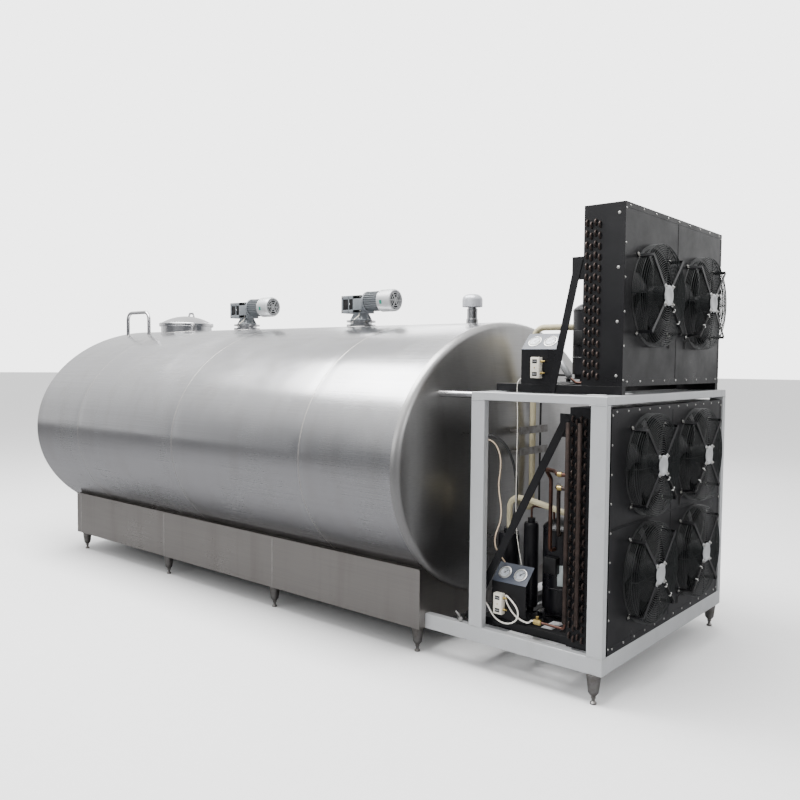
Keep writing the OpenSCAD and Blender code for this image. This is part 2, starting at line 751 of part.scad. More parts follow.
module valve_handle() {
  disc_r = outlet_bore / 2 - seat_gap;
  top = outlet_z + valve_d / 2 + 16;
  color("dimgray") at_datum() {
    translate([valve_x, 0, outlet_z]) union() {
      rotate([0, 90, 0]) cylinder(r = disc_r, h = 4, center = true);
      translate([0, 0, -outlet_bore / 2 - 10]) cylinder(d = stem_d, h = outlet_bore / 2 + 10 + top + 14 - outlet_z);
      translate([0, 0, top + 4 - outlet_z]) cylinder(d = 30, h = 16);
      translate([-9, -130, top + 7 - outlet_z]) cube([18, 130, 8]);
      translate([0, -130, top + 11 - outlet_z]) rotate([90, 0, 0]) cylinder(d = 24, h = 30, center = true);
    }
  }
}

// ---- Machine frame ----

module frame_posts() {
  h = top_bottom - bottom_top;
  color("darkgray") at_datum() for (x = [-frame_l, -rhs_w], y = [-half_w, half_w - rhs_t])
    translate([x, y, bottom_top]) rhs([rhs_w, rhs_t, h]);
}

module frame_bottom_rails() {
  cross_l = frame_w - 2 * rhs_t;
  color("darkgray") at_datum() {
    for (y = [-half_w, half_w - rhs_t]) translate([skirt_x1, y, base_z]) rhs([-skirt_x1, rhs_t, rhs_w]);
    for (x = [-frame_l, -260, -rhs_w]) translate([x, -half_w + rhs_t, base_z]) rhs([rhs_w, cross_l, rhs_w]);
  }
}

module frame_top_rails() {
  cross_l = frame_w - 2 * rhs_w;
  color("darkgray") at_datum() {
    for (y = [-half_w, half_w - rhs_w]) translate([-frame_l, y, top_bottom]) rhs([frame_l, rhs_w, rhs_t]);
    for (x = [-frame_l, -rhs_w]) translate([x, -half_w + rhs_w, top_bottom]) rhs([rhs_w, cross_l, rhs_t]);
  }
}

module tie_tubes() {
  color("silver") at_datum() difference() {
    for (y = [-half_w + 35, half_w - 35]) translate([barrel_x1, y, frame_top_z - 18]) rotate([0, 90, 0])
      difference() {
        cylinder(d = 35, h = frame_gap);
        translate([0, 0, -1]) cylinder(d = 31, h = frame_gap + 2);
      }
    dish(barrel_a, barrel_b, knuckle_r, dish_depth, 5, barrel_x1 + seat_gap, 1);
  }
}

// Flat straps on studs that hold the risers against the dished end
module pipe_straps() {
  back = riser_x + 20;
  color("dimgray") at_datum() for (z = strap_zs) difference() {
    union() {
      translate([back, strap_y0, z - 22]) cube([4, strap_y1 - strap_y0, 44]);
      for (y = [strap_y0, strap_y1 - 14]) translate([barrel_x1, y, z - 7]) cube([back + 2 - barrel_x1, 14, 14]);
    }
    dish(barrel_a, barrel_b, knuckle_r, dish_depth, 5, barrel_x1 + seat_gap, 1);
  }
}

// ---- Condensing units ----

module base_channels() {
  plate = 4;
  color([0.1, 0.1, 0.1]) at_datum() {
    for (y = upper_ch_y) translate([upper_ch_x0, y, frame_top_z])
      cube([upper_front - upper_ch_x0, channel_w, channel_h]);
    for (x = upper_cross) translate([x, upper_ch_y[0] + channel_w, frame_top_z])
      cube([channel_w, upper_ch_y[1] - upper_ch_y[0] - channel_w, channel_h]);
    for (y = lower_ch_y) translate([lower_ch_x0, y, bottom_top])
      cube([lower_ch_x1 - lower_ch_x0, channel_w, channel_h]);
    for (x = lower_cross) translate([x, lower_ch_y[0] + channel_w, bottom_top])
      cube([channel_w, lower_ch_y[1] - lower_ch_y[0] - channel_w, channel_h]);
    translate([comp_upper[0] - 115, comp_upper[1] - 115, upper_deck]) cube([230, 230, plate]);
    translate([comp_lower[0] - 115, comp_lower[1] - 115, lower_deck]) cube([230, 230, plate]);
  }
}

// A sheet casing, open at the back, with flanged fan openings
module casing(front, y, z, w, h, first, last) {
  difference() {
    translate([front - cond_t, y - w / 2, z]) cube([cond_t, w, h]);
    translate([front - cond_t - 1, y - w / 2 + sheet_t, z + sheet_t])
      cube([cond_t + 1 - sheet_t, w - 2 * sheet_t, h - 2 * sheet_t]);
    for (i = [first:last]) translate([front - 10, fans[i][1], fans[i][2]])
      rotate([0, 90, 0]) cylinder(r = hole_r, h = 20);
  }
  for (i = [first:last]) translate([front - lip_l, fans[i][1], fans[i][2]]) rotate([0, 90, 0]) difference() {
    cylinder(r = hole_r + sheet_t, h = lip_l - sheet_t);
    translate([0, 0, -1]) cylinder(r = hole_r, h = lip_l + 2);
  }
}

module condenser_casings() {
  color([0.12, 0.12, 0.13]) at_datum() {
    casing(upper_front, upper_y, upper_z, upper_w, upper_h, 0, 1);
    casing(lower_front, lower_y, lower_z, lower_w, lower_h, 2, 5);
  }
}

module fin_packs() {
  t = cond_t - plenum_t;
  color([0.25, 0.25, 0.26]) at_datum() {
    translate([upper_front - cond_t, upper_y - upper_w / 2 + sheet_t, upper_z + sheet_t])
      cube([t, upper_w - 2 * sheet_t, upper_h - 2 * sheet_t]);
    translate([lower_front - cond_t, lower_y - lower_w / 2 + sheet_t, lower_z + sheet_t])
      cube([t, lower_w - 2 * sheet_t, lower_h - 2 * sheet_t]);
  }
}

// Rows of upright half-ring bends standing out of the end plate
module bends(front, y, z, h) {
  rows = floor((h - 60) / (2 * tube_pitch));
  for (c = [0:3], r = [0:rows - 1])
    translate([front - plenum_t - 17 - c * column_pitch, y, z + 45 + (c % 2) * 12 + r * 2 * tube_pitch])
      rotate([0, -90, 180]) rotate_extrude(angle = 180) translate([tube_pitch / 2, 0]) circle(d = bend_tube_d);
}

module return_bends() {
  color([0.5, 0.25, 0.18]) at_datum() {
    bends(upper_front, upper_y - upper_w / 2, upper_z, upper_h);
    bends(lower_front, lower_y - lower_w / 2, lower_z, lower_h);
  }
}

// A flat ring of square wire round +Z
module wire_ring(r, z) {
  translate([0, 0, z]) difference() {
    cylinder(r = r, h = wire_d);
    translate([0, 0, -1]) cylinder(r = r - wire_d, h = wire_d + 2);
  }
}

// Wire baskets: rings in front and round the side, welded to straight spokes
module fan_guards() {
  rings = 6;
  side_rings = 4;
  r0 = hub_r + 14;
  r1 = guard_d / 2;
  lap = 1;
  color([0.1, 0.1, 0.1]) at_datum() for (f = fans) translate(f) rotate([0, 90, 0]) union() {
    for (i = [0:rings]) wire_ring(r0 + i * (r1 - r0) / rings, guard_depth - wire_d);
    for (i = [0:side_rings - 1]) wire_ring(r1, i * (guard_depth - wire_d) / side_rings);
    for (a = [0, 90, 180, 270]) rotate([0, 0, a]) {
      translate([r0 - 2 * wire_d, -wire_d / 2, guard_depth - 2 * wire_d + lap])
        cube([r1 - r0 + wire_d, wire_d, wire_d]);
      translate([r1 - 2 * wire_d + lap, -wire_d / 2, 0]) cube([wire_d, wire_d, guard_depth - lap]);
    }
  }
}

module fan_brackets() {
  strip = 18;
  foot_r = guard_d / 2 + 3;
  color([0.1, 0.1, 0.1]) at_datum() for (f = fans, a = [45, 135, 225, 315])
    translate(f) rotate([a, 0, 0]) union() {
      translate([hub_x - 3, -strip / 2, hub_r - 12]) cube([3, strip, foot_r - hub_r + 15]);
      translate([0, -strip / 2, foot_r]) cube([hub_x - 1, strip, 3]);
      translate([0, -strip / 2, foot_r]) cube([3, strip, 26]);
    }
}

module fan_motors() {
  color("gray") at_datum() for (f = fans) translate(f) rotate([0, 90, 0]) union() {
    translate([0, 0, hub_x]) cylinder(r = hub_r, h = 5);
    translate([0, 0, rotor_front + 2]) cylinder(d = 92, h = hub_x - 5 - rotor_front);
    translate([0, 0, rotor_back + 6]) cylinder(d = 12, h = hub_x - rotor_back - 6);
  }
}

module impeller(f) {
  color([0.08, 0.08, 0.08]) at_datum() translate(f) rotate([0, 90, 0]) difference() {
    union() {
      translate([0, 0, rotor_back]) cylinder(d = 104, h = rotor_front - rotor_back);
      intersection() {
        translate([0, 0, rotor_back]) cylinder(d = impeller_d, h = rotor_front - rotor_back);
        for (i = [0:4]) rotate([0, 0, i * 72]) translate([45, 0, -25]) rotate([blade_pitch, 0, 0])
          translate([0, -blade_chord / 2, -1.5]) cube([impeller_d / 2, blade_chord, 3]);
      }
    }
    translate([0, 0, rotor_back + 5]) cylinder(d = 12 + 2 * run_gap, h = 200);
  }
}

module impeller_1() { impeller(fans[0]); }

module impeller_2() { impeller(fans[1]); }

module impeller_3() { impeller(fans[2]); }

module impeller_4() { impeller(fans[3]); }

module impeller_5() { impeller(fans[4]); }

module impeller_6() { impeller(fans[5]); }

module condenser_braces() {
  bar_w = 40;
  bar_t = 5;
  ub = upper_front - cond_t;
  lb = lower_front - cond_t;
  color([0.08, 0.08, 0.08]) at_datum() {
    for (s = [-1, 1]) let (y = s < 0 ? upper_ch_y[0] : upper_ch_y[1] + channel_w) {
      flat_bar([-392, frame_top_z + 24.5], [ub - 26, upper_z + 585], bar_w,
        s < 0 ? y - bar_t - 0.3 : y + 0.3, bar_t);
      translate([ub - 60, s < 0 ? y : y - bar_t, upper_z + 505]) cube([60, bar_t, 110]);
    }
    for (s = [-1, 1]) let (y = s < 0 ? lower_ch_y[0] : lower_ch_y[1] + channel_w) {
      flat_bar([lower_ch_x0 + 22, bottom_top + 24.5], [lb - 28, lower_z + 1065], bar_w,
        s < 0 ? y - bar_t - 0.3 : y + 0.3, bar_t);
      translate([lb - 60, s < 0 ? y : y - bar_t, lower_z + 985]) cube([60, bar_t, 110]);
    }
  }
}

// A hermetic compressor: domed shell on a square foot, with a suction stub
module compressor(p, z, d, h, stub) {
  dome = d * 0.22;
  ball = d * d / 8 / dome + dome / 2;
  stub_d = 34;
  translate([p[0], p[1], z]) union() {
    for (x = [-80, 80], y = [-80, 80]) translate([x, y, 0]) cylinder(d = 26, h = 14);
    translate([-95, -95, 14]) cube([190, 190, 4]);
    translate([0, 0, 18]) cylinder(d = d - 24, h = 30);
    translate([0, 0, 40]) cylinder(d = d, h = h - 40 - dome);
    intersection() {
      translate([0, 0, h - ball]) sphere(r = ball);
      translate([0, 0, h - dome]) cylinder(d = d, h = dome);
    }
    translate([0, -d / 2 - 12, h * 0.55]) cube([70, 40, 80], center = true);
    translate([0, 0, stub]) rotate([0, 90, atan2(suction_in[1], suction_in[0])])
      cylinder(d = stub_d, h = norm(suction_in) + stub_d / 2);
  }
}

module compressors() {
  color([0.06, 0.06, 0.07]) at_datum() {
    compressor(comp_upper, upper_deck + 4, comp_d, comp_h, 300);
    compressor(comp_lower, lower_deck + 4, comp_lower_d, comp_lower_h, 280);
  }
}

// A bottle with domed ends, standing on its foot
module bottle(p, z, d, h, foot) {
  translate([p[0], p[1], z]) rotate_extrude() union() {
    square([d / 4, h]);
    square([foot, 6]);
    translate([0, 30 + d / 6]) square([d / 2, h - 60 - d / 3]);
    for (e = [30 + d / 6, h - 30 - d / 6]) translate([0, e]) intersection() {
      circle(d / 2);
      translate([0, -d / 6 - 6]) square([d / 2, d / 3 + 12]);
    }
  }
}

module accumulators() {
  color([0.07, 0.07, 0.09]) at_datum() {
    bottle([-690, -462], lower_deck, 116, 420, 48);
    bottle([-562, -452], lower_deck, 78, 488, 36);
    bottle(bottle_upper, upper_deck, bottle_upper_d, 236, 48);
  }
}

module suction_pipes() {
  lower_in = [comp_lower[0] + suction_in[0], comp_lower[1] + suction_in[1]];
  across = unit(comp_upper - bottle_upper);
  upper_out = bottle_upper + across * (bottle_upper_d / 2 + seat_gap);
  upper_in = comp_upper - across * (comp_d / 2 + seat_gap);
  top = 1756;
  color("wheat") at_datum() {
    sweep(bent([[-690, -462, lower_deck + 420], [-690, -462, 848], [-560, -472, 842],
      [lower_in[0], lower_in[1], 790], [lower_in[0], lower_in[1], lower_deck + 301.3]], 60), suction_d);
    sweep(bent([[riser_x - 45, riser_y, 700], [riser_x, riser_y, 700], [riser_x, riser_y, 760]], 34), riser_d);
    sweep(bent([[riser_x, riser_y, 760], [riser_x, riser_y, top],
      [bottle_upper[0], riser_y, top], [bottle_upper[0], bottle_upper[1], top],
      [bottle_upper[0], bottle_upper[1], upper_deck + 236]], 70), riser_d);
    sweep([[upper_out[0], upper_out[1], upper_deck + 150], [upper_in[0], upper_in[1], upper_deck + 150]], suction_d);
  }
}

module copper_pipes() {
  plate_y = lower_y - lower_w / 2;
  end_y = plate_y - 30;
  headers = [lower_front - 201, lower_front - 140];
  header_d = 22;
  feeders = floor(lower_h / (4 * tube_pitch)) - 2;
  comp_wall = comp_lower_d / 2 + seat_gap;
  radial = [cos(-70), sin(-70)];
  oil_in = comp_lower + radial * comp_wall;
  oil_near = comp_lower + radial * (comp_wall + 46);
  color([0.45, 0.25, 0.18]) at_datum() {
    for (x = headers) {
      translate([x, end_y, lower_z + 115]) cylinder(d = header_d, h = lower_h - 185);
      for (k = [1:feeders]) translate([x, end_y, lower_z + 82.4 + k * 4 * tube_pitch]) rotate([-90, 0, 0])
        cylinder(d = bend_tube_d, h = plate_y - end_y);
    }
    sweep(bent([[headers[0] - 5, end_y, 1033], [-258, end_y, 1033], [-318, -650, 1033], [-390, -610, 1033],
      [-390, -560, 980], [-390, -560, 620], [-390, comp_lower[1] - comp_wall, 620]], 28, 4), copper_d);
    sweep(bent([[headers[0] - 5, end_y, 969], [-258, end_y, 969], [-300, -640, 969], [-330, -590, 900],
      [oil_near[0], oil_near[1], 700], [oil_in[0], oil_in[1], 700]], 22, 4), copper_d);
    sweep(bent([[headers[0], end_y, lower_z + 118], [headers[0], end_y, valve_at[2]],
      [valve_at[0] + 18, valve_at[1], valve_at[2]]], 18, 4), liquid_d, 8);
    translate(valve_at) rotate([0, 90, 0]) cylinder(d = 30, h = 40, center = true);
    sweep(bent([[riser_x - 30, liquid_y, 720], [riser_x - 8, liquid_y, 720], [riser_x - 8, liquid_y, 1480],
      [-690, liquid_y, 1480], [-690, -342, 1500], [-560, -342, 1600], [-492, -342, 1588.5]], 20, 4), liquid_d, 8);
    sweep(bent([[-562, -452, lower_deck + 488.3], [-562, -452, 810], [-430, -452, 810],
      [-430, -452, 757.6]], 24, 4), liquid_d, 8);
    sweep(bent([[-485, -342, 1577], [-413, -342, 1473], [-380, -342, 1451.3],
      [upper_front - cond_t - seat_gap, -342, 1451.3]], 16, 4), liquid_d, 8);
    sweep([[-492, -342, 1587], [-480, -342, 1569.7], [-478, -342, 1566.8], [-422, -342, 1485.9],
      [-420, -342, 1483], [-408, -342, 1466]], 34, 12);
  }
}

// ---- Instruments ----

module panel_place(i) {
  translate([panels[i][0], panels[i][1], panels[i][2]]) children();
}

// Puts a child on the sloping face of panel i, at u along X and half way up
module on_face(i, u) {
  translate([panels[i][0] + u, panels[i][1] + panel_d / 2, panels[i][2] + panels[i][3] + panel_d / 2])
    rotate([45, 0, 0]) children();
}

module gauge_brackets() {
  color([0.1, 0.1, 0.1]) at_datum() for (i = [0, 1]) let (h = panels[i][3]) difference() {
    panel_place(i) translate([panel_w, 0, 0]) rotate([90, 0, -90]) linear_extrude(panel_w) difference() {
      polygon([[0, 0], [0, h], [-panel_d, h + panel_d], [-panel_d, 0]]);
      polygon([[-panel_t, panel_t], [-panel_t, h - 1], [-panel_d - 1, h + panel_d - 1.2 * panel_t],
        [-panel_d - 1, panel_t]]);
    }
    for (u = gauge_at) on_face(i, u) cylinder(d = gauge_d + 2 * seat_gap, h = 60, center = true);
  }
}

module gauge_plates() {
  slope = panel_d * sqrt(2);
  color([0.22, 0.28, 0.36]) at_datum() for (i = [0, 1]) difference() {
    on_face(i, 0) translate([0, -slope / 2, 0]) cube([panel_w, slope, face_t]);
    for (u = gauge_at) on_face(i, u) cylinder(d = gauge_d + 2 * seat_gap, h = 60, center = true);
  }
}

module gauges() {
  color("silver") at_datum() for (i = [0, 1], u = gauge_at) on_face(i, u) {
    difference() {
      translate([0, 0, gauge_lift - gauge_h]) cylinder(d = gauge_d, h = gauge_h);
      translate([0, 0, gauge_lift - dial_depth]) cylinder(d = gauge_d - 6, h = 10);
    }
    translate([0, 0, gauge_lift - dial_depth - 1]) cylinder(d = dial_pin, h = 4);
    translate([0, 0, face_t]) difference() {
      cylinder(d = gauge_d + 10, h = 2);
      translate([0, 0, -1]) cylinder(d = gauge_d - 1, h = 4);
    }
  }
}

module needle(i, u) {
  color("black") at_datum() on_face(i, u) translate([0, 0, gauge_lift - dial_depth + 1]) rotate([0, 0, -45])
    difference() {
      union() {
        cylinder(d = 8, h = 1.6);
        translate([-1, -7, 0]) cube([2, 31, 1.2]);
      }
      translate([0, 0, -1]) cylinder(d = dial_pin + 2 * run_gap, h = 4);
    }
}

module needle_1() { needle(0, gauge_at[0]); }

module needle_2() { needle(0, gauge_at[1]); }

module needle_3() { needle(1, gauge_at[0]); }

module needle_4() { needle(1, gauge_at[1]); }

module pressure_controllers() {
  color("ivory") at_datum() for (p = ctrl_places) {
    translate([p[0], p[1] - ctrl[1], p[2]]) difference() {
      cube(ctrl);
      for (z = [12, 75]) translate([12, -1, z]) cube([26, 3, 18]);
    }
    for (z = [26, 84]) translate([p[0] + ctrl[0], p[1] - ctrl[1] / 2, p[2] + z]) rotate([0, 90, 0]) {
      cylinder(d = 14, h = 10);
      cylinder(d = 9, h = 24);
    }
  }
}

// ---- Cords ----

module cable_loop() { color("white") at_datum() sweep(loop_route, loop_d, 8); }

module cable_black() { color([0.05, 0.05, 0.05]) at_datum() sweep(black_route, black_d, 10); }

module cable_cream() { color("antiquewhite") at_datum() sweep(cream_route, cream_d, 8); }

module cable_link() { color("whitesmoke") at_datum() sweep(link_route, link_d, 8); }

base_skirt();
base_frame();
leg_cups();
levelling_feet();
outer_barrel();
outer_heads();
foam_barrel();
foam_heads();
inner_vessel();
evaporator_plates();
manhole_neck();
manhole_gasket();
manhole_lid();
lid_hinge_pin();
hoop_handle();
agitator_mounts();
gear_housings();
agitator_motors();
motor_cowls();
agitator_left();
agitator_right();
vent_stem();
vent_cap();
outlet_valve();
valve_handle();
frame_posts();
frame_bottom_rails();
frame_top_rails();
tie_tubes();
pipe_straps();
base_channels();
condenser_casings();
fin_packs();
return_bends();
fan_guards();
fan_brackets();
fan_motors();
impeller_1();
impeller_2();
impeller_3();
impeller_4();
impeller_5();
impeller_6();
condenser_braces();
compressors();
accumulators();
suction_pipes();
copper_pipes();
gauge_brackets();
gauge_plates();
gauges();
needle_1();
needle_2();
needle_3();
needle_4();
pressure_controllers();
cable_loop();
cable_black();
cable_cream();
cable_link();
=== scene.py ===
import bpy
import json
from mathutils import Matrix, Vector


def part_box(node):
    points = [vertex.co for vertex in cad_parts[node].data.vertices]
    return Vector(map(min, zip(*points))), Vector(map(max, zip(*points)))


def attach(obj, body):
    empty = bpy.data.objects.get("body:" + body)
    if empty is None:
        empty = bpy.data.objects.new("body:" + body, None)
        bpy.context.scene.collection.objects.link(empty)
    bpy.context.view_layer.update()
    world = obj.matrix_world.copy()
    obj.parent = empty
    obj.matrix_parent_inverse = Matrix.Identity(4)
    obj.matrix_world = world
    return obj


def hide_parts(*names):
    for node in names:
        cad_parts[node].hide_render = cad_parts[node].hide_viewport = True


bl_info = {
    "name": "Bulk milk tank finish",
    "version": (1, 0, 0),
    "blender": (4, 5, 0),
    "location": "View3D > Sidebar > Milk tank",
    "description": "Dresses the packed bulk milk tank with sheet steel, machinery and cables",
    "category": "Object",
}

import json
import math

import bmesh
import bpy
from mathutils import Matrix, Vector, noise

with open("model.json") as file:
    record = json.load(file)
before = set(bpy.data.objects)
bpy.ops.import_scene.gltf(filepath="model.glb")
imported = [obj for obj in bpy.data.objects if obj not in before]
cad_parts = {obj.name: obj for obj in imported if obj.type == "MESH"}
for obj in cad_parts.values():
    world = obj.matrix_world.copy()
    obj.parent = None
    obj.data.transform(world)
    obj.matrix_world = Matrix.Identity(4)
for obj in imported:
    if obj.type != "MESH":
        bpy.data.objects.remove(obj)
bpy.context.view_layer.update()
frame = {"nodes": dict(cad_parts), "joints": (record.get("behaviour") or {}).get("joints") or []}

# ---- Main stations, from the frame ----

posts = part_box("frame_posts")
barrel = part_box("outer_barrel")
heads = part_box("outer_heads")
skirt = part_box("base_skirt")
DATUM = posts[1].x
AXIS_Z = (barrel[0].z + barrel[1].z) / 2
OVAL_A = barrel[1].y
OVAL_B = barrel[1].z - AXIS_Z
DISH = heads[1].x - barrel[1].x
TOP_Z = barrel[1].z
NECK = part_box("manhole_neck")
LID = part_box("manhole_lid")
STIRRERS = [Vector(j["pos_m"]) for j in frame["joints"] if j["name"].startswith("agitator")]
FANS = [Vector(j["pos_m"]) for j in frame["joints"] if j["name"].startswith("fan_")]
NEEDLES = [Vector(j["pos_m"]) for j in frame["joints"] if j["name"].startswith("gauge_")]
LID_PIN = next(Vector(j["pos_m"]) for j in frame["joints"] if j["name"] == "lid_hinge")


def at(x, y, z):
    """A point given from the machine frame's right face, in the row frame."""
    return Vector((DATUM + x, y, z))


# ---- Sizes and colours that a user may change ----


class TankSizes(bpy.types.PropertyGroup):
    seam_width: bpy.props.FloatProperty(
        name="Seam width", description="Width of a weld seam on the cladding", default=0.012, unit="LENGTH")
    wave: bpy.props.FloatProperty(
        name="Sheet wave", description="How far the cladding sheet dips between its welds",
        default=0.0016, unit="LENGTH")
    wire: bpy.props.FloatProperty(
        name="Guard wire", description="Diameter of the fan guards' wire", default=0.003, unit="LENGTH")
    fin_pitch: bpy.props.FloatProperty(
        name="Fin pitch", description="Distance between two condenser fins", default=0.005, unit="LENGTH")
    screw: bpy.props.FloatProperty(
        name="Screw head", description="Diameter of a casing screw's head", default=0.011, unit="LENGTH")


class TankColours(bpy.types.PropertyGroup):
    stainless: bpy.props.FloatVectorProperty(
        name="Stainless", description="Colour of the stainless sheet", subtype="COLOR", default=(0.50, 0.50, 0.51))
    frame_paint: bpy.props.FloatVectorProperty(
        name="Frame paint", description="Colour of the machine frame", subtype="COLOR", default=(0.44, 0.45, 0.46))
    black_coat: bpy.props.FloatVectorProperty(
        name="Black coat", description="Colour of the condenser casings", subtype="COLOR",
        default=(0.006, 0.006, 0.007))
    copper: bpy.props.FloatVectorProperty(
        name="Copper", description="Colour of dulled copper tube", subtype="COLOR", default=(0.17, 0.085, 0.065))
    insulation: bpy.props.FloatVectorProperty(
        name="Insulation", description="Colour of the pipe insulation", subtype="COLOR", default=(0.50, 0.45, 0.30))
    panel: bpy.props.FloatVectorProperty(
        name="Gauge panel", description="Colour of the gauge plates", subtype="COLOR", default=(0.018, 0.026, 0.045))


# ---- Effects: node groups shared by the materials ----


def socket(group, name, kind, value=None, output=False):
    made = group.interface.new_socket(
        name=name, in_out="OUTPUT" if output else "INPUT", socket_type="NodeSocket" + kind)
    if value is not None:
        made.default_value = value


class Net:
    """Short calls for laying out nodes in one tree."""

    def __init__(self, tree):
        self.tree = tree

    def add(self, kind, values=None, **settings):
        node = self.tree.nodes.new("ShaderNode" + kind)
        for key, value in settings.items():
            setattr(node, key, value)
        for key, value in (values or {}).items():
            if isinstance(value, bpy.types.NodeSocket):
                self.tree.links.new(value, node.inputs[key])
            else:
                node.inputs[key].default_value = value
        return node

    def noise(self, where, scale, detail=4.0, rough=0.55):
        made = self.add("TexNoise", {"Vector": where, "Scale": scale, "Detail": detail, "Roughness": rough})
        return made.outputs["Fac"]

    def span(self, value, low, high, to_low, to_high):
        made = self.add("MapRange", {"Value": value, "From Min": low, "From Max": high,
                                     "To Min": to_low, "To Max": to_high})
        return made.outputs["Result"]

    def math(self, operation, first, second):
        return self.add("Math", {0: first, 1: second}, operation=operation).outputs[0]

    def mix(self, share, first, second):
        made = self.tree.nodes.new("ShaderNodeMix")
        made.data_type = "RGBA"
        for key, value in ((0, share), (6, first), (7, second)):
            if isinstance(value, bpy.types.NodeSocket):
                self.tree.links.new(value, made.inputs[key])
            else:
                made.inputs[key].default_value = value
        return made.outputs[2]


def effect(name, inputs):
    """A new node group with Color, Roughness and Height outputs, or the one already made."""
    found = bpy.data.node_groups.get(name)
    if found:
        return found, None, None
    group = bpy.data.node_groups.new(name, "ShaderNodeTree")
    for key, kind, value in inputs:
        socket(group, key, kind, value)
    for key, kind in (("Color", "Color"), ("Roughness", "Float"), ("Height", "Float")):
        socket(group, key, kind, output=True)
    net = Net(group)
    return group, net, net.tree.nodes.new("NodeGroupInput").outputs


def close(net, color, roughness, height):
    out = net.tree.nodes.new("NodeGroupOutput")
    for key, value in (("Color", color), ("Roughness", roughness), ("Height", height)):
        net.tree.links.new(value, out.inputs[key])


def brushed_sheet():
    """Sheet metal with fine lines along one direction, soft clouds and faint runs."""
    group, net, given = effect("Brushed sheet", [
        ("Color", "Color", (0.6, 0.6, 0.6, 1)), ("Stain", "Color", (0.3, 0.27, 0.24, 1)),
        ("Lines", "Vector", (2.0, 260.0, 260.0)), ("Roughness", "Float", 0.22), ("Runs", "Float", 0.3)])
    if net is None:
        return group
    place = net.add("TexCoord").outputs["Object"]
    lines = net.noise(net.add("Mapping", {"Vector": place, "Scale": given["Lines"]}).outputs[0], 1.0, 5.0)
    clouds = net.noise(place, 2.3, 5.0)
    runs = net.noise(net.add("Mapping", {"Vector": place, "Scale": (9.0, 9.0, 0.9)}).outputs[0], 1.0, 3.0)
    stain = net.math("MULTIPLY", net.span(runs, 0.48, 0.78, 0.0, 1.0), given["Runs"])
    shade = net.mix(stain, given["Color"], given["Stain"])
    dull = net.mix(net.span(lines, 0.3, 0.7, 0.0, 0.16), shade, (0.16, 0.16, 0.17, 1))
    rough = net.math("ADD", given["Roughness"], net.span(clouds, 0.3, 0.75, -0.04, 0.10))
    rough = net.math("ADD", rough, net.span(lines, 0.3, 0.7, -0.03, 0.05))
    close(net, dull, rough, lines)
    return group


def painted_coat():
    """Paint or powder with a fine orange peel, dust on what faces up, and rubbed patches."""
    group, net, given = effect("Painted coat", [
        ("Color", "Color", (0.3, 0.3, 0.3, 1)), ("Dust", "Color", (0.32, 0.30, 0.27, 1)),
        ("Dust share", "Float", 0.25), ("Roughness", "Float", 0.4), ("Peel scale", "Float", 320.0)])
    if net is None:
        return group
    place = net.add("TexCoord").outputs["Object"]
    peel = net.noise(place, given["Peel scale"], 2.0)
    patches = net.noise(place, 5.0, 6.0, 0.6)
    up = net.add("SeparateXYZ", {0: net.add("NewGeometry").outputs["Normal"]}).outputs["Z"]
    lying = net.math("MULTIPLY", net.span(up, 0.2, 0.95, 0.25, 1.0), net.span(patches, 0.35, 0.7, 0.0, 1.0))
    dusty = net.math("MULTIPLY", lying, given["Dust share"])
    rubbed = net.mix(net.span(patches, 0.62, 0.8, 0.0, 0.25), given["Color"], given["Dust"])
    color = net.mix(dusty, rubbed, given["Dust"])
    rough = net.math("ADD", given["Roughness"], net.span(patches, 0.3, 0.7, -0.05, 0.13))
    close(net, color, net.math("ADD", rough, net.math("MULTIPLY", dusty, 0.4)), peel)
    return group


def fine_grain():
    """Moulded plastic or rubber: a fine grain with slight tone changes."""
    group, net, given = effect("Fine grain", [
        ("Color", "Color", (0.5, 0.5, 0.5, 1)), ("Tone", "Color", (0.4, 0.4, 0.4, 1)),
        ("Roughness", "Float", 0.5), ("Scale", "Float", 600.0)])
    if net is None:
        return group
    place = net.add("TexCoord").outputs["Object"]
    grain = net.noise(place, given["Scale"], 3.0)
    tone = net.noise(place, 14.0, 5.0)
    color = net.mix(net.span(tone, 0.35, 0.75, 0.0, 0.7), given["Color"], given["Tone"])
    close(net, color, net.math("ADD", given["Roughness"], net.span(tone, 0.3, 0.7, -0.06, 0.08)), grain)
    return group


def tarnish():
    """Bare copper or brass with dark and bright spots and drawn lines."""
    group, net, given = effect("Tarnish", [
        ("Color", "Color", (0.4, 0.2, 0.1, 1)), ("Dark", "Color", (0.05, 0.035, 0.03, 1)),
        ("Share", "Float", 0.5), ("Roughness", "Float", 0.35)])
    if net is None:
        return group
    place = net.add("TexCoord").outputs["Object"]
    spots = net.noise(place, 22.0, 6.0, 0.6)
    fine = net.noise(place, 180.0, 3.0)
    share = net.math("MULTIPLY", net.span(spots, 0.35, 0.68, 0.0, 1.0), given["Share"])
    color = net.mix(share, given["Color"], given["Dark"])
    close(net, color, net.math("ADD", given["Roughness"], net.span(spots, 0.3, 0.7, -0.08, 0.16)), fine)
    return group


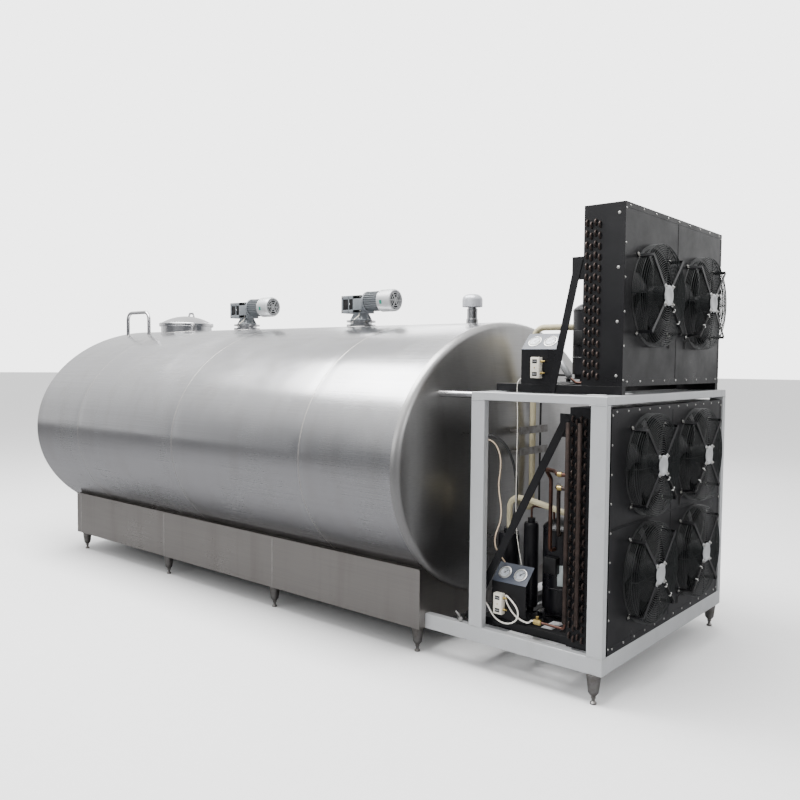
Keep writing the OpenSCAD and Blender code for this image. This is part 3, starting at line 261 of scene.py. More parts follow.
def finish(name, group, values, metallic=0.0, bump=0.15, depth=0.0004, coat=0.0, anisotropic=0.0,
           shine=0.5):
    """A material whose colour, roughness and relief come from one effect."""
    found = bpy.data.materials.get(name)
    if found:
        return found
    made = bpy.data.materials.new(name)
    made.use_nodes = True
    net = Net(made.node_tree)
    shader = made.node_tree.nodes["Principled BSDF"]
    look = net.add("Group", node_tree=group())
    for key, value in values.items():
        look.inputs[key].default_value = (*value, 1.0) if len_of(value) == 3 and key != "Lines" else value
    relief = net.add("Bump", {"Strength": bump, "Distance": depth, "Height": look.outputs["Height"]})
    for source, key in ((look.outputs["Color"], "Base Color"), (look.outputs["Roughness"], "Roughness"),
                        (relief.outputs["Normal"], "Normal")):
        made.node_tree.links.new(source, shader.inputs[key])
    shader.inputs["Metallic"].default_value = metallic
    shader.inputs["Coat Weight"].default_value = coat
    shader.inputs["Coat Roughness"].default_value = 0.2
    shader.inputs["Anisotropic"].default_value = anisotropic
    shader.inputs["Specular IOR Level"].default_value = shine
    return made


def len_of(value):
    return len(value) if hasattr(value, "__len__") else 1


def colours():
    return bpy.context.scene.tank_colours


def sizes():
    return bpy.context.scene.tank_sizes


def stainless_round():
    return finish("stainless cladding", brushed_sheet, {
        "Color": tuple(colours().stainless), "Stain": (0.40, 0.385, 0.37), "Lines": (0.9, 0.7, 320.0),
        "Roughness": 0.20, "Runs": 0.35}, metallic=1.0, bump=0.02, depth=0.0006, anisotropic=0.35)


def stainless_head_painted_shade():
    # Painted shade: the heads' base colour is a darker, browner copy of the barrel's stainless (0.42 against 0.50); the
    # runs are stains, and the brushing and roughness are the heads' own.
    return finish("stainless head with painted shade", brushed_sheet, {
        "Color": (0.42, 0.415, 0.41), "Stain": (0.30, 0.285, 0.27), "Lines": (220.0, 3.0, 220.0),
        "Roughness": 0.30, "Runs": 0.5}, metallic=1.0, bump=0.05, depth=0.0006)


def stainless_skirt():
    return finish("stainless skirt", brushed_sheet, {
        "Color": (0.36, 0.34, 0.32), "Stain": (0.24, 0.215, 0.195), "Lines": (2.0, 2.0, 300.0),
        "Roughness": 0.30, "Runs": 0.45}, metallic=1.0, bump=0.05, depth=0.0006)


def polished():
    return finish("polished stainless", brushed_sheet, {
        "Color": (0.66, 0.66, 0.67), "Stain": (0.42, 0.38, 0.34), "Lines": (90.0, 90.0, 300.0),
        "Roughness": 0.16, "Runs": 0.25}, metallic=1.0, bump=0.04, depth=0.0004)


def weld_metal():
    return finish("weld bead", tarnish, {
        "Color": (0.58, 0.56, 0.54), "Dark": (0.24, 0.21, 0.18), "Share": 0.35, "Roughness": 0.33},
        metallic=1.0, bump=0.5, depth=0.0006)


def mill_steel():
    return finish("plain steel", tarnish, {
        "Color": (0.34, 0.33, 0.32), "Dark": (0.12, 0.10, 0.085), "Share": 0.6, "Roughness": 0.42},
        metallic=1.0, bump=0.25)


def zinc():
    return finish("zinc fasteners", tarnish, {
        "Color": (0.66, 0.66, 0.64), "Dark": (0.34, 0.32, 0.28), "Share": 0.4, "Roughness": 0.3},
        metallic=1.0, bump=0.15)


def frame_paint():
    return finish("frame paint", painted_coat, {
        "Color": tuple(colours().frame_paint), "Dust": (0.20, 0.185, 0.17), "Dust share": 0.35,
        "Roughness": 0.36, "Peel scale": 420.0}, metallic=0.35, bump=0.12, coat=0.1)


def black_coat():
    return finish("black powder coat", painted_coat, {
        "Color": tuple(colours().black_coat), "Dust": (0.016, 0.016, 0.016), "Dust share": 0.25,
        "Roughness": 0.30, "Peel scale": 520.0}, bump=0.10, shine=0.28)


def black_wire():
    return finish("black wire coat", painted_coat, {
        "Color": (0.010, 0.012, 0.012), "Dust": (0.06, 0.062, 0.06), "Dust share": 0.3, "Roughness": 0.30,
        "Peel scale": 700.0}, bump=0.05, coat=0.1, shine=0.4)


def shell_enamel():
    return finish("shell enamel", painted_coat, {
        "Color": (0.005, 0.005, 0.007), "Dust": (0.03, 0.029, 0.027), "Dust share": 0.25, "Roughness": 0.30,
        "Peel scale": 260.0}, bump=0.16, coat=0.1, shine=0.35)


def cast_enamel():
    return finish("cast enamel", painted_coat, {
        "Color": (0.17, 0.185, 0.20), "Dust": (0.30, 0.30, 0.28), "Dust share": 0.4, "Roughness": 0.42,
        "Peel scale": 170.0}, metallic=0.3, bump=0.45, depth=0.0008)


def silver_enamel():
    return finish("silver enamel", painted_coat, {
        "Color": (0.50, 0.51, 0.52), "Dust": (0.34, 0.33, 0.30), "Dust share": 0.35, "Roughness": 0.36,
        "Peel scale": 300.0}, metallic=0.55, bump=0.12)


def panel_paint():
    return finish("panel paint", painted_coat, {
        "Color": tuple(colours().panel), "Dust": (0.06, 0.065, 0.08), "Dust share": 0.2, "Roughness": 0.34,
        "Peel scale": 450.0}, bump=0.10, coat=0.15)


def copper():
    return finish("dulled copper", tarnish, {
        "Color": tuple(colours().copper), "Dark": (0.045, 0.03, 0.025), "Share": 0.75, "Roughness": 0.36},
        metallic=0.9, bump=0.2)


def dark_copper():
    return finish("header copper", tarnish, {
        "Color": (0.060, 0.042, 0.036), "Dark": (0.018, 0.015, 0.014), "Share": 0.7, "Roughness": 0.42},
        metallic=0.7, bump=0.2)


def brass():
    return finish("brass fittings", tarnish, {
        "Color": (0.55, 0.42, 0.16), "Dark": (0.20, 0.14, 0.05), "Share": 0.5, "Roughness": 0.3},
        metallic=1.0, bump=0.15)


def fin_metal():
    return finish("fin sheet", tarnish, {
        "Color": (0.10, 0.10, 0.10), "Dark": (0.02, 0.02, 0.02), "Share": 0.5, "Roughness": 0.45},
        metallic=0.8, bump=0.1)


def insulation():
    return finish("pipe insulation", fine_grain, {
        "Color": tuple(colours().insulation), "Tone": (0.36, 0.31, 0.19), "Roughness": 0.62, "Scale": 240.0},
        bump=0.5, depth=0.001)


def ivory():
    return finish("ivory moulding", fine_grain, {
        "Color": (0.62, 0.59, 0.51), "Tone": (0.52, 0.49, 0.41), "Roughness": 0.45, "Scale": 900.0}, bump=0.12)


def black_rubber():
    return finish("black rubber", fine_grain, {
        "Color": (0.012, 0.012, 0.012), "Tone": (0.035, 0.034, 0.032), "Roughness": 0.5, "Scale": 500.0},
        bump=0.25)


def black_moulding():
    return finish("black moulding", fine_grain, {
        "Color": (0.006, 0.006, 0.007), "Tone": (0.014, 0.014, 0.014), "Roughness": 0.38, "Scale": 700.0},
        bump=0.15, shine=0.3)


def cap_moulding():
    return finish("vent cap moulding", fine_grain, {
        "Color": (0.52, 0.53, 0.56), "Tone": (0.42, 0.43, 0.46), "Roughness": 0.33, "Scale": 600.0},
        metallic=0.4, bump=0.08)


def dial_white():
    return finish("dial card", fine_grain, {
        "Color": (0.78, 0.79, 0.80), "Tone": (0.70, 0.71, 0.73), "Roughness": 0.4, "Scale": 1200.0}, bump=0.04)


def print_ink(name, color):
    return finish(name, fine_grain, {"Color": color, "Tone": color, "Roughness": 0.5, "Scale": 1200.0}, bump=0.04)


def foam():
    return finish("foam core", fine_grain, {
        "Color": (0.70, 0.60, 0.33), "Tone": (0.58, 0.47, 0.22), "Roughness": 0.8, "Scale": 160.0},
        bump=0.8, depth=0.002)


def sheath(name, color, tone, roughness=0.42):
    return finish(name, fine_grain, {"Color": color, "Tone": tone, "Roughness": roughness, "Scale": 800.0},
                  bump=0.08, coat=0.1)


def clear_lens():
    made = bpy.data.materials.get("gauge glass")
    if made is None:
        made = bpy.data.materials.new("gauge glass")
        made.use_nodes = True
        net = Net(made.node_tree)
        shader = made.node_tree.nodes["Principled BSDF"]
        place = net.add("TexCoord").outputs["Object"]
        smear = net.span(net.noise(place, 40.0), 0.3, 0.8, 0.02, 0.12)
        made.node_tree.links.new(smear, shader.inputs["Roughness"])
        shader.inputs["Base Color"].default_value = (0.95, 0.97, 1.0, 1.0)
        shader.inputs["Transmission Weight"].default_value = 1.0
        shader.inputs["IOR"].default_value = 1.45
    return made


# ---- Building pieces ----


def piece(name, bm, look, body="tank", stands_for=(), sharp=35.0):
    """Turns a bmesh into a shown piece that rides on a body."""
    bmesh.ops.recalc_face_normals(bm, faces=bm.faces)
    mesh = bpy.data.meshes.new(name)
    bm.to_mesh(mesh)
    bm.free()
    mesh.polygons.foreach_set("use_smooth", [True] * len(mesh.polygons))
    mesh.set_sharp_from_angle(angle=math.radians(sharp))
    made = bpy.data.objects.new(name, mesh)
    return settle(made, look, body, stands_for)


def settle(made, look, body, stands_for=()):
    bpy.context.scene.collection.objects.link(made)
    made.data.materials.append(look)
    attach(made, body)
    if stands_for:
        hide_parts(*stands_for)
    return made


def rounded(points, radius, steps=8):
    """A polyline with its corners turned into arcs of one radius."""
    path = [Vector(points[0])]
    for before, here, after in zip(points, points[1:], points[2:]):
        before, here, after = Vector(before), Vector(here), Vector(after)
        into, out = (before - here).normalized(), (after - here).normalized()
        half = into.angle(out) / 2
        room = min((before - here).length, (after - here).length) * 0.49
        reach = min(radius / math.tan(half), room)
        r = reach * math.tan(half)
        centre = here + (into + out).normalized() * r / math.sin(half)
        start, end = here + into * reach - centre, here + out * reach - centre
        turn = math.pi - 2 * half
        for i in range(steps + 1):
            t = i / steps
            path.append(centre + (start * math.sin(turn * (1 - t)) + end * math.sin(turn * t)) / math.sin(turn))
    path.append(Vector(points[-1]))
    return path


def smoothed(points, steps=5):
    """A Catmull-Rom curve through given points."""
    p = [Vector(q) for q in points]
    p = [2 * p[0] - p[1], *p, 2 * p[-1] - p[-2]]
    path = []
    for a, b, c, d in zip(p, p[1:], p[2:], p[3:]):
        for i in range(steps):
            t = i / steps
            path.append(0.5 * (2 * b + (c - a) * t + (2 * a - 5 * b + 4 * c - d) * t * t
                               + (3 * b - a - 3 * c + d) * t ** 3))
    return path + [p[-2]]


def tube(name, path, diameter, look, body="tank", stands_for=(), sides=6, cyclic=False):
    """A round bar or tube along a path, as a curve."""
    curve = bpy.data.curves.new(name, "CURVE")
    curve.dimensions = "3D"
    curve.bevel_depth = diameter / 2
    curve.bevel_resolution = sides
    curve.use_fill_caps = not cyclic
    spline = curve.splines.new("POLY")
    spline.points.add(len(path) - 1)
    for point, place in zip(spline.points, path):
        point.co = (*place, 1.0)
    spline.use_cyclic_u = cyclic
    spline.use_smooth = True
    return settle(bpy.data.objects.new(name, curve), look, body, stands_for)


def place(origin, axis, spin=0.0):
    """A matrix that stands a piece's own Z along an axis at a point."""
    turn = Vector(axis).to_track_quat("Z", "Y").to_matrix().to_4x4()
    return Matrix.Translation(origin) @ turn @ Matrix.Rotation(spin, 4, "Z")


def lathe(bm, profile, matrix, segments=48):
    """Turns a (radius, height) outline round the matrix's Z."""
    rings = []
    for r, h in profile:
        if r < 1e-6:
            rings.append([bm.verts.new(matrix @ Vector((0, 0, h)))])
            continue
        rings.append([bm.verts.new(matrix @ Vector((r * math.cos(a), r * math.sin(a), h)))
                      for a in (2 * math.pi * i / segments for i in range(segments))])
    if profile[0] == profile[-1]:
        bmesh.ops.delete(bm, geom=rings.pop(), context="VERTS")
        rings.append(rings[0])
    for low, high in zip(rings, rings[1:]):
        for i in range(segments):
            k = (i + 1) % segments
            corners = [low[i % len(low)], low[k % len(low)], high[k % len(high)], high[i % len(high)]]
            kept = list(dict.fromkeys(corners))
            if len(kept) > 2:
                bm.faces.new(kept)


def block(bm, low, high, matrix=None, bevel=0.0, segments=2):
    """A box with rounded edges."""
    low, high = Vector(low), Vector(high)
    made = bmesh.ops.create_cube(bm, size=1.0)["verts"]
    scale = Matrix.Diagonal((*(high - low), 1.0))
    bmesh.ops.transform(bm, matrix=Matrix.Translation((low + high) / 2) @ scale, verts=made)
    if bevel:
        edges = list({e for v in made for e in v.link_edges})
        out = bmesh.ops.bevel(bm, geom=edges, offset=bevel, segments=segments, affect="EDGES", profile=0.5)
        made = list({v for f in out["faces"] for v in f.verts})
        made = connected(made)
    if matrix is not None:
        bmesh.ops.transform(bm, matrix=matrix, verts=made)


def connected(verts):
    """All the vertices that hang together with the given ones."""
    seen, todo = set(verts), list(verts)
    while todo:
        for edge in todo.pop().link_edges:
            for v in edge.verts:
                if v not in seen:
                    seen.add(v)
                    todo.append(v)
    return list(seen)


def plate(bm, outline, thickness, matrix, hole=None):
    """A flat plate with a given outline, its lower face on the matrix's XY plane; a hole is an inner outline."""
    def side(height):
        rim = [bm.verts.new(matrix @ Vector((x, y, height))) for x, y in outline]
        inner = [bm.verts.new(matrix @ Vector((x, y, height))) for x, y in hole or ()]
        edges = [bm.edges.new((loop[i - 1], loop[i])) for loop in (rim, inner) for i in range(len(loop))]
        bmesh.ops.triangle_fill(bm, use_beauty=True, edges=edges)
        return rim, inner
    for low, high in zip(side(0.0), side(thickness)):
        for i in range(len(low)):
            bm.faces.new((low[i - 1], low[i], high[i], high[i - 1]))


def circle(radius, count=24, centre=(0.0, 0.0), phase=0.0):
    return [(centre[0] + radius * math.cos(2 * math.pi * i / count + phase),
             centre[1] + radius * math.sin(2 * math.pi * i / count + phase)) for i in range(count)]


def pan_screw(bm, origin, axis, diameter, height=None):
    """A pan-head screw with a washer."""
    r = diameter / 2
    h = height or r * 0.7
    lathe(bm, [(r * 1.35, 0.0), (r * 1.35, h * 0.25), (r, h * 0.28), (r * 0.92, h * 0.75), (r * 0.6, h), (0.0, h)],
          place(origin, axis), 14)


def hex_bolt(bm, origin, axis, across, height):
    m = place(origin, axis)
    lathe(bm, [(across * 0.95, 0.0), (across * 0.95, height * 0.2), (0.0, height * 0.2)], m, 20)
    lathe(bm, [(across * 0.56, height * 0.2), (across * 0.56, height * 0.9), (across * 0.48, height),
               (0.0, height)], m, 6)


def baked(made):
    """Applies the modifiers of a piece to its mesh."""
    shown = made.evaluated_get(bpy.context.evaluated_depsgraph_get())
    mesh = bpy.data.meshes.new_from_object(shown)
    made.modifiers.clear()
    made.data = mesh
    return made


def oval_at(t, shrink=0.0):
    return (OVAL_A - shrink) * math.cos(t), (OVAL_B - shrink) * math.sin(t)


SEAMS = [DATUM - 4.130, DATUM - 2.910, DATUM - 1.690]


def sheet_dip(x, t, wave):
    """How far the cladding lies inside its true oval: shallow waves, pulled in at the welds."""
    swell = noise.noise(Vector((x * 1.3, math.cos(t) * 1.6, math.sin(t) * 1.6 + 7.0)))
    ripple = noise.noise(Vector((x * 4.0, math.cos(t) * 3.0, math.sin(t) * 3.0 + 3.0)))
    near = min(abs(x - s) for s in SEAMS)
    return wave * (0.55 + 0.45 * swell + 0.12 * ripple) + wave * 0.9 * math.exp(-((near / 0.035) ** 2))


# ---- Operators ----


class StageOperator(bpy.types.Operator):
    """Makes the floor, backdrop, lights, sky and camera"""
    bl_idname = "milktank.stage"
    bl_label = "Stage and camera"

    def execute(self, context):
        scene = context.scene
        self.make_camera(scene)
        self.make_room()
        self.make_sky(scene)
        for name, centre, aim, size, power in (
                ("top_softbox", (-0.6, -1.4, 6.4), (-0.6, 0.0, 1.0), (8.0, 3.4), 1250.0),
                ("front_softbox", (1.0, -7.5, 3.6), (0.0, 0.0, 1.2), (7.0, 1.2), 90.0),
                ("right_softbox", (8.5, -1.0, 3.4), (2.4, 0.0, 1.2), (3.0, 2.0), 60.0),
                ("back_softbox", (-3.0, 6.5, 5.0), (0.0, 0.0, 1.4), (6.0, 2.5), 200.0)):
            light = bpy.data.lights.new(name, "AREA")
            light.shape = "RECTANGLE"
            light.size, light.size_y = size
            light.energy = power
            lamp = bpy.data.objects.new(name, light)
            lamp.location = centre
            lamp.rotation_euler = (Vector(aim) - Vector(centre)).to_track_quat("-Z", "Y").to_euler()
            scene.collection.objects.link(lamp)
        return {"FINISHED"}

    def make_camera(self, scene):
        lens, yaw, pitch, roll = 36.17, 0.7078, 0.0481, 0.0096
        data = bpy.data.cameras.new("view")
        data.sensor_width = 36.0
        data.lens = lens
        data.clip_end = 100.0
        cam = bpy.data.objects.new("view", data)
        cam.location = at(1.6086, -4.0507, 1.5525)
        turn = Matrix.Rotation(yaw, 3, "Z") @ Matrix.Rotation(math.pi / 2 - pitch, 3, "X")
        cam.rotation_euler = (turn @ Matrix.Rotation(roll, 3, "Z")).to_euler()
        scene.collection.objects.link(cam)
        scene.camera = cam

    def make_room(self):
        """A round sheet of floor that reaches far behind the tank; in reflections its colour is a painted dark grey, a
        painted dark reflection.
        """
        bm = bmesh.new()
        lathe(bm, [(0.0, 0.0), (12.0, 0.0), (90.0, 0.0)], Matrix.Identity(4), 96)
        mesh = bpy.data.meshes.new("studio_floor")
        bm.to_mesh(mesh)
        bm.free()
        mesh.polygons.foreach_set("use_smooth", [True] * len(mesh.polygons))
        room = bpy.data.objects.new("studio_floor", mesh)
        look = finish("floor paper with painted dark reflection", fine_grain, {
            "Color": (0.90, 0.90, 0.90), "Tone": (0.88, 0.88, 0.88), "Roughness": 0.85, "Scale": 60.0}, bump=0.02)
        net = Net(look.node_tree)
        shader = look.node_tree.nodes["Principled BSDF"]
        paper = next(link.from_socket for link in look.node_tree.links if link.to_socket == shader.inputs["Base Color"])
        # Painted reflection: glossy rays see the floor as dark grey (0.16) instead of white paper, so the tank's lower
        # sheet shows a painted dark reflection.
        painted_dark_reflection_mask = net.add("LightPath").outputs["Is Glossy Ray"]
        look.node_tree.links.new(net.mix(painted_dark_reflection_mask, paper, (0.16, 0.16, 0.165, 1.0)), shader.inputs["Base Color"])
        mesh.materials.append(look)
        bpy.context.scene.collection.objects.link(room)

    def make_sky(self, scene):
        world = bpy.data.worlds.new("studio")
        world.use_nodes = True
        scene.world = world
        net = Net(world.node_tree)
        parts = net.add("SeparateXYZ", {0: net.add("TexCoord").outputs["Generated"]}).outputs
        behind = net.math("ADD", net.math("MULTIPLY", parts["Y"], 0.76), net.math("MULTIPLY", parts["X"], -0.65))
        side = net.span(behind, -0.15, 0.45, 0.0, 1.0)
        above = net.span(parts["Z"], 0.12, 0.55, 0.0, 1.0)
        share = net.math("MAXIMUM", side, above)
        color = net.mix(share, (0.10, 0.105, 0.115, 1.0), (1.0, 1.0, 1.0, 1.0))
        back = world.node_tree.nodes["Background"]
        world.node_tree.links.new(color, back.inputs["Color"])
        seen = net.add("LightPath").outputs["Is Camera Ray"]
        world.node_tree.links.new(net.span(seen, 0.0, 1.0, 1.5, 4.0), back.inputs["Strength"])


class CablesOperator(bpy.types.Operator):
    """Lays the four loose cables in the machine frame"""
    bl_idname = "milktank.cables"
    bl_label = "Cables"

    def execute(self, context):
        white = sheath("white sheath", (0.66, 0.64, 0.59), (0.55, 0.52, 0.46))
        black = sheath("black sheath", (0.012, 0.012, 0.013), (0.03, 0.03, 0.03), 0.36)
        cream = sheath("cream sheath", (0.58, 0.45, 0.32), (0.47, 0.36, 0.25))
        loop = [(-.668, -.7176, .340), (-.662, -.710, .333), (-.652, -.705, .316), (-.638, -.703, .294),
                (-.617, -.702, .272), (-.590, -.702, .258), (-.560, -.703, .253), (-.530, -.704, .257),
                (-.503, -.705, .270), (-.484, -.706, .290), (-.476, -.707, .313), (-.480, -.708, .337),
                (-.494, -.709, .358), (-.514, -.708, .376), (-.535, -.704, .388), (-.550, -.697, .391),
                (-.560, -.690, .3885), (-.563, -.685, .377), (-.558, -.685, .357), (-.545, -.685, .337),
                (-.528, -.685, .316), (-.505, -.686, .298), (-.476, -.689, .286), (-.446, -.695, .282),
                (-.418, -.706, .286), (-.398, -.719, .301), (-.385, -.728, .309), (-.3728, -.729, .310)]
        arch = [(-.664, -.7146, 1.186), (-.652, -.711, 1.186), (-.636, -.702, 1.182), (-.620, -.688, 1.172),
                (-.605, -.671, 1.154), (-.592, -.653, 1.128), (-.582, -.636, 1.095), (-.575, -.621, 1.055),
                (-.570, -.608, 1.010), (-.568, -.598, .960), (-.569, -.590, .910), (-.573, -.584, .860),
                (-.581, -.579, .810), (-.594, -.576, .762), (-.611, -.573, .716), (-.630, -.571, .672),
                (-.649, -.570, .628), (-.664, -.569, .584), (-.675, -.569, .540), (-.682, -.569, .494),
                (-.686, -.569, .446), (-.689, -.569, .398), (-.690, -.569, .350), (-.690, -.569, .304),
                (-.690, -.569, .2604)]
        fall = [(-.664, -.718, 1.165), (-.653, -.714, 1.164), (-.640, -.706, 1.156), (-.628, -.696, 1.140),
                (-.619, -.687, 1.116), (-.613, -.680, 1.086), (-.611, -.676, 1.052), (-.613, -.674, 1.016),
                (-.618, -.674, .980), (-.622, -.674, .945), (-.620, -.674, .910), (-.614, -.675, .876),
                (-.607, -.676, .842), (-.603, -.677, .807), (-.604, -.678, .772), (-.612, -.679, .738),
                (-.624, -.680, .706), (-.634, -.680, .674), (-.637, -.678, .643), (-.633, -.672, .614),
                (-.627, -.660, .590), (-.623, -.643, .570), (-.622, -.625, .552), (-.622, -.606, .533)]
        link = [(-.5725, -.545, 1.475), (-.579, -.545, 1.474), (-.584, -.551, 1.468), (-.587, -.562, 1.458),
                (-.588, -.569, 1.442), (-.587, -.573, 1.415), (-.582, -.579, 1.360), (-.573, -.588, 1.290),
                (-.563, -.602, 1.210), (-.555, -.616, 1.130), (-.550, -.625, 1.050), (-.549, -.627, .970),
                (-.549, -.627, .890), (-.549, -.626, .810), (-.547, -.624, .740), (-.543, -.621, .680),
                (-.535, -.618, .625), (-.529, -.612, .580), (-.526, -.607, .553), (-.526, -.602, .535)]
        self.lay("cable_white_loop", loop, 0.008, white, "cable_loop", "cable_white", "limp")
        self.lay("cable_black_arch", arch, 0.014, black, "cable_black", "cable_black", "medium")
        self.lay("cable_cream_fall", fall, 0.007, cream, "cable_cream", "cable_cream", "limp")
        self.lay("cable_link_fall", link, 0.004, white, "cable_link", "cable_white", "limp")
        return {"FINISHED"}

    def lay(self, name, points, diameter, look, node, slot, stiffness):
        path = smoothed([at(*p) for p in points], 4)
        made = tube(name, path, diameter, look, stands_for=(node,), sides=4)


class CladdingOperator(bpy.types.Operator):
    """Builds the barrel's sheet, its weld seams and the two dished ends"""
    bl_idname = "milktank.cladding"
    bl_label = "Cladding"

    def execute(self, context):
        self.make_barrel()
        self.make_seams()
        self.make_heads()
        return {"FINISHED"}

    def make_barrel(self):
        rows, turns, inset = 150, 240, 0.003
        bm = bmesh.new()
        skins = []
        for thick in (0.0, inset):
            rings = []
            for i in range(rows + 1):
                x = barrel[0].x + (barrel[1].x - barrel[0].x) * i / rows
                ring = []
                for j in range(turns):
                    t = 2 * math.pi * j / turns
                    ease = min(1.0, (x - barrel[0].x) / 0.05, (barrel[1].x - x) / 0.05)
                    y, z = oval_at(t, thick + ease * sheet_dip(x, t, sizes().wave))
                    ring.append(bm.verts.new((x, y, AXIS_Z + z)))
                rings.append(ring)
            for a, b in zip(rings, rings[1:]):
                for j in range(turns):
                    bm.faces.new((a[j - 1], a[j], b[j], b[j - 1]))
            skins.append(rings)
        for end in (0, -1):
            for j in range(turns):
                bm.faces.new((skins[0][end][j - 1], skins[0][end][j], skins[1][end][j], skins[1][end][j - 1]))
        made = piece("barrel_sheet", bm, stainless_round(), stands_for=("outer_barrel",))
        cutter = bmesh.new()
        centre = (NECK[1].y + NECK[0].y) / 2
        bore = NECK[1].y - 0.002
        lathe(cutter, [(0.0, 0.4), (bore, 0.4), (bore, 1.0), (0.0, 1.0)],
              Matrix.Translation((manhole_x(), centre, AXIS_Z)), 96)
        bmesh.ops.recalc_face_normals(cutter, faces=cutter.faces)
        mesh = bpy.data.meshes.new("mouth")
        cutter.to_mesh(mesh)
        cutter.free()
        hole = bpy.data.objects.new("mouth", mesh)
        bpy.context.scene.collection.objects.link(hole)
        cut = made.modifiers.new("mouth", "BOOLEAN")
        cut.object = hole
        cut.operation = "DIFFERENCE"
        cut.solver = "EXACT"
        baked(made)
        bpy.data.objects.remove(hole)

    def make_seams(self):
        """Flat ground beads round the barrel."""
        bm = bmesh.new()
        turns, half = 240, sizes().seam_width / 2
        for x in SEAMS:
            rings = []
            for dx, rise in ((-half, -0.0006), (-half * 0.6, 0.0001), (0.0, 0.0004), (half * 0.6, 0.0001),
                             (half, -0.0006)):
                ring = []
                for j in range(turns):
                    t = 2 * math.pi * j / turns
                    jitter = 0.0008 * noise.noise(Vector((x * 5.0, math.cos(t) * 30, math.sin(t) * 30)))
                    y, z = oval_at(t, max(0.0, sheet_dip(x + dx, t, sizes().wave) - rise))
                    ring.append(bm.verts.new((x + dx + jitter, y, AXIS_Z + z)))
                rings.append(ring)
            for a, b in zip(rings, rings[1:]):
                for j in range(turns):
                    bm.faces.new((a[j - 1], a[j], b[j], b[j - 1]))
        piece("barrel_seams", bm, weld_metal())

    def make_heads(self):
        crown_rows, knuckle_rows, turns, wall = 30, 8, 240, 0.003
        knuckle = 0.04
        for name, side, rim in (("head_left", -1, barrel[0].x), ("head_right", 1, barrel[1].x)):
            bm = bmesh.new()
            big = (OVAL_B ** 2 - 2 * OVAL_B * knuckle + DISH ** 2) / (2 * (DISH - knuckle))
            kx = OVAL_B - knuckle
            lean = math.atan2(kx, big - DISH)
            skins = []
            for thick in (0.0, wall):
                rows = []
                for i in range(knuckle_rows + 1):
                    t = (math.pi / 2 - lean) * i / knuckle_rows
                    rows.append((kx + (knuckle - thick) * math.cos(t), (knuckle - thick) * math.sin(t)))
                for i in range(1, crown_rows):
                    t = lean * (1 - i / crown_rows)
                    rows.append(((big - thick) * math.sin(t), DISH - big + (big - thick) * math.cos(t)))
                rings = []
                for r, depth in rows:
                    ring = []
                    for j in range(turns):
                        t = 2 * math.pi * j / turns
                        y, z = OVAL_A * r / OVAL_B * math.cos(t), r * math.sin(t)
                        dent = 0.0012 * (0.5 + 0.5 * noise.noise(Vector((y * 2.2, z * 2.2, side * 5.0))))
                        ring.append(bm.verts.new((rim + side * (depth - dent * min(1.0, depth / 0.05)), y, AXIS_Z + z)))
                    rings.append(ring)
                tip = bm.verts.new((rim + side * (DISH - thick - 0.0006), 0.0, AXIS_Z))
                for a, b in zip(rings, rings[1:]):
                    for j in range(turns):
                        bm.faces.new((a[j - 1], a[j], b[j], b[j - 1]))
                for j in range(turns):
                    bm.faces.new((rings[-1][j - 1], rings[-1][j], tip))
                skins.append(rings[0])
            for j in range(turns):
                bm.faces.new((skins[0][j - 1], skins[0][j], skins[1][j], skins[1][j - 1]))
            nodes = ("outer_heads",) if side > 0 else ()
            piece(name, bm, stainless_head_painted_shade(), stands_for=nodes)


def manhole_x():
    """The manhole's centre, from the neck's round wall."""
    return NECK[1].x - NECK[1].y


class ManholeOperator(bpy.types.Operator):
    """Builds the domed lid with its rolled rim, plate handle and hinge"""
    bl_idname = "milktank.manhole"
    bl_label = "Manhole"

    def execute(self, context):
        x, base, edge = manhole_x(), LID[0].z + 0.018, LID[1].x - manhole_x()
        rise, sheet = 0.070, 0.003
        big = (edge ** 2 + rise ** 2) / (2 * rise)
        inner = NECK[1].y - 0.012
        bm = bmesh.new()
        dome = [(big * math.sin(a), rise - big + big * math.cos(a)) for a in
                (math.asin(edge * 0.955 / big) * i / 18 for i in range(19))]
        roll = [(edge - 0.007 + 0.007 * math.cos(a), 0.002 + 0.009 * math.sin(a)) for a in
                (math.pi / 2 * (1 - i / 6) for i in range(7))]
        skirt_down = [(edge, -0.017), (edge - 0.001, -0.018), (edge - sheet, -0.018), (edge - sheet, -0.002)]
        under = [(edge - 0.012, 0.0), (inner, 0.0), (inner, sheet)]
        roof = [((big - sheet) * math.sin(a), rise - big + (big - sheet) * math.cos(a)) for a in
                (math.asin(edge * 0.90 / big) * (1 - i / 12) for i in range(13))]
        lathe(bm, dome + roll + skirt_down + under + roof, Matrix.Translation((x, 0.0, base)), 128)
        piece("lid_dome", bm, polished(), body="manhole_lid", stands_for=("manhole_lid",))
        self.make_handle(x, base)
        self.make_hinge(base)
        return {"FINISHED"}

    def make_handle(self, x, base):
        """The holed trapezoid plate on the lid's far side."""
        bm = bmesh.new()
        turn = Matrix.Rotation(math.radians(20), 4, "Z")
        stand = Matrix.Translation((x - 0.060, 0.092, base + 0.030)) @ turn @ Matrix.Rotation(math.pi / 2, 4, "X")
        outline = [(-0.045, 0.006), (-0.045, 0.012), (-0.024, 0.071), (-0.018, 0.078), (0.018, 0.078),
                   (0.024, 0.071), (0.045, 0.012), (0.045, 0.006)]
        plate(bm, outline, 0.006, stand @ Matrix.Translation((0.0, 0.0, -0.003)), circle(0.0165, 24, (0.0, 0.048)))
        piece("lid_plate_handle", bm, polished(), body="manhole_lid")

    def make_hinge(self, base):
        bm = bmesh.new()
        half = 0.024
        block(bm, (LID_PIN.x, -half, base), (LID_PIN.x + 0.024, half, base + 0.010), bevel=0.0012)
        lathe(bm, [(0.0052, -half), (0.010, -half), (0.010, half), (0.0052, half), (0.0052, -half)],
              place(LID_PIN, (0, 1, 0)), 32)
        piece("lid_knuckle", bm, polished(), body="manhole_lid")


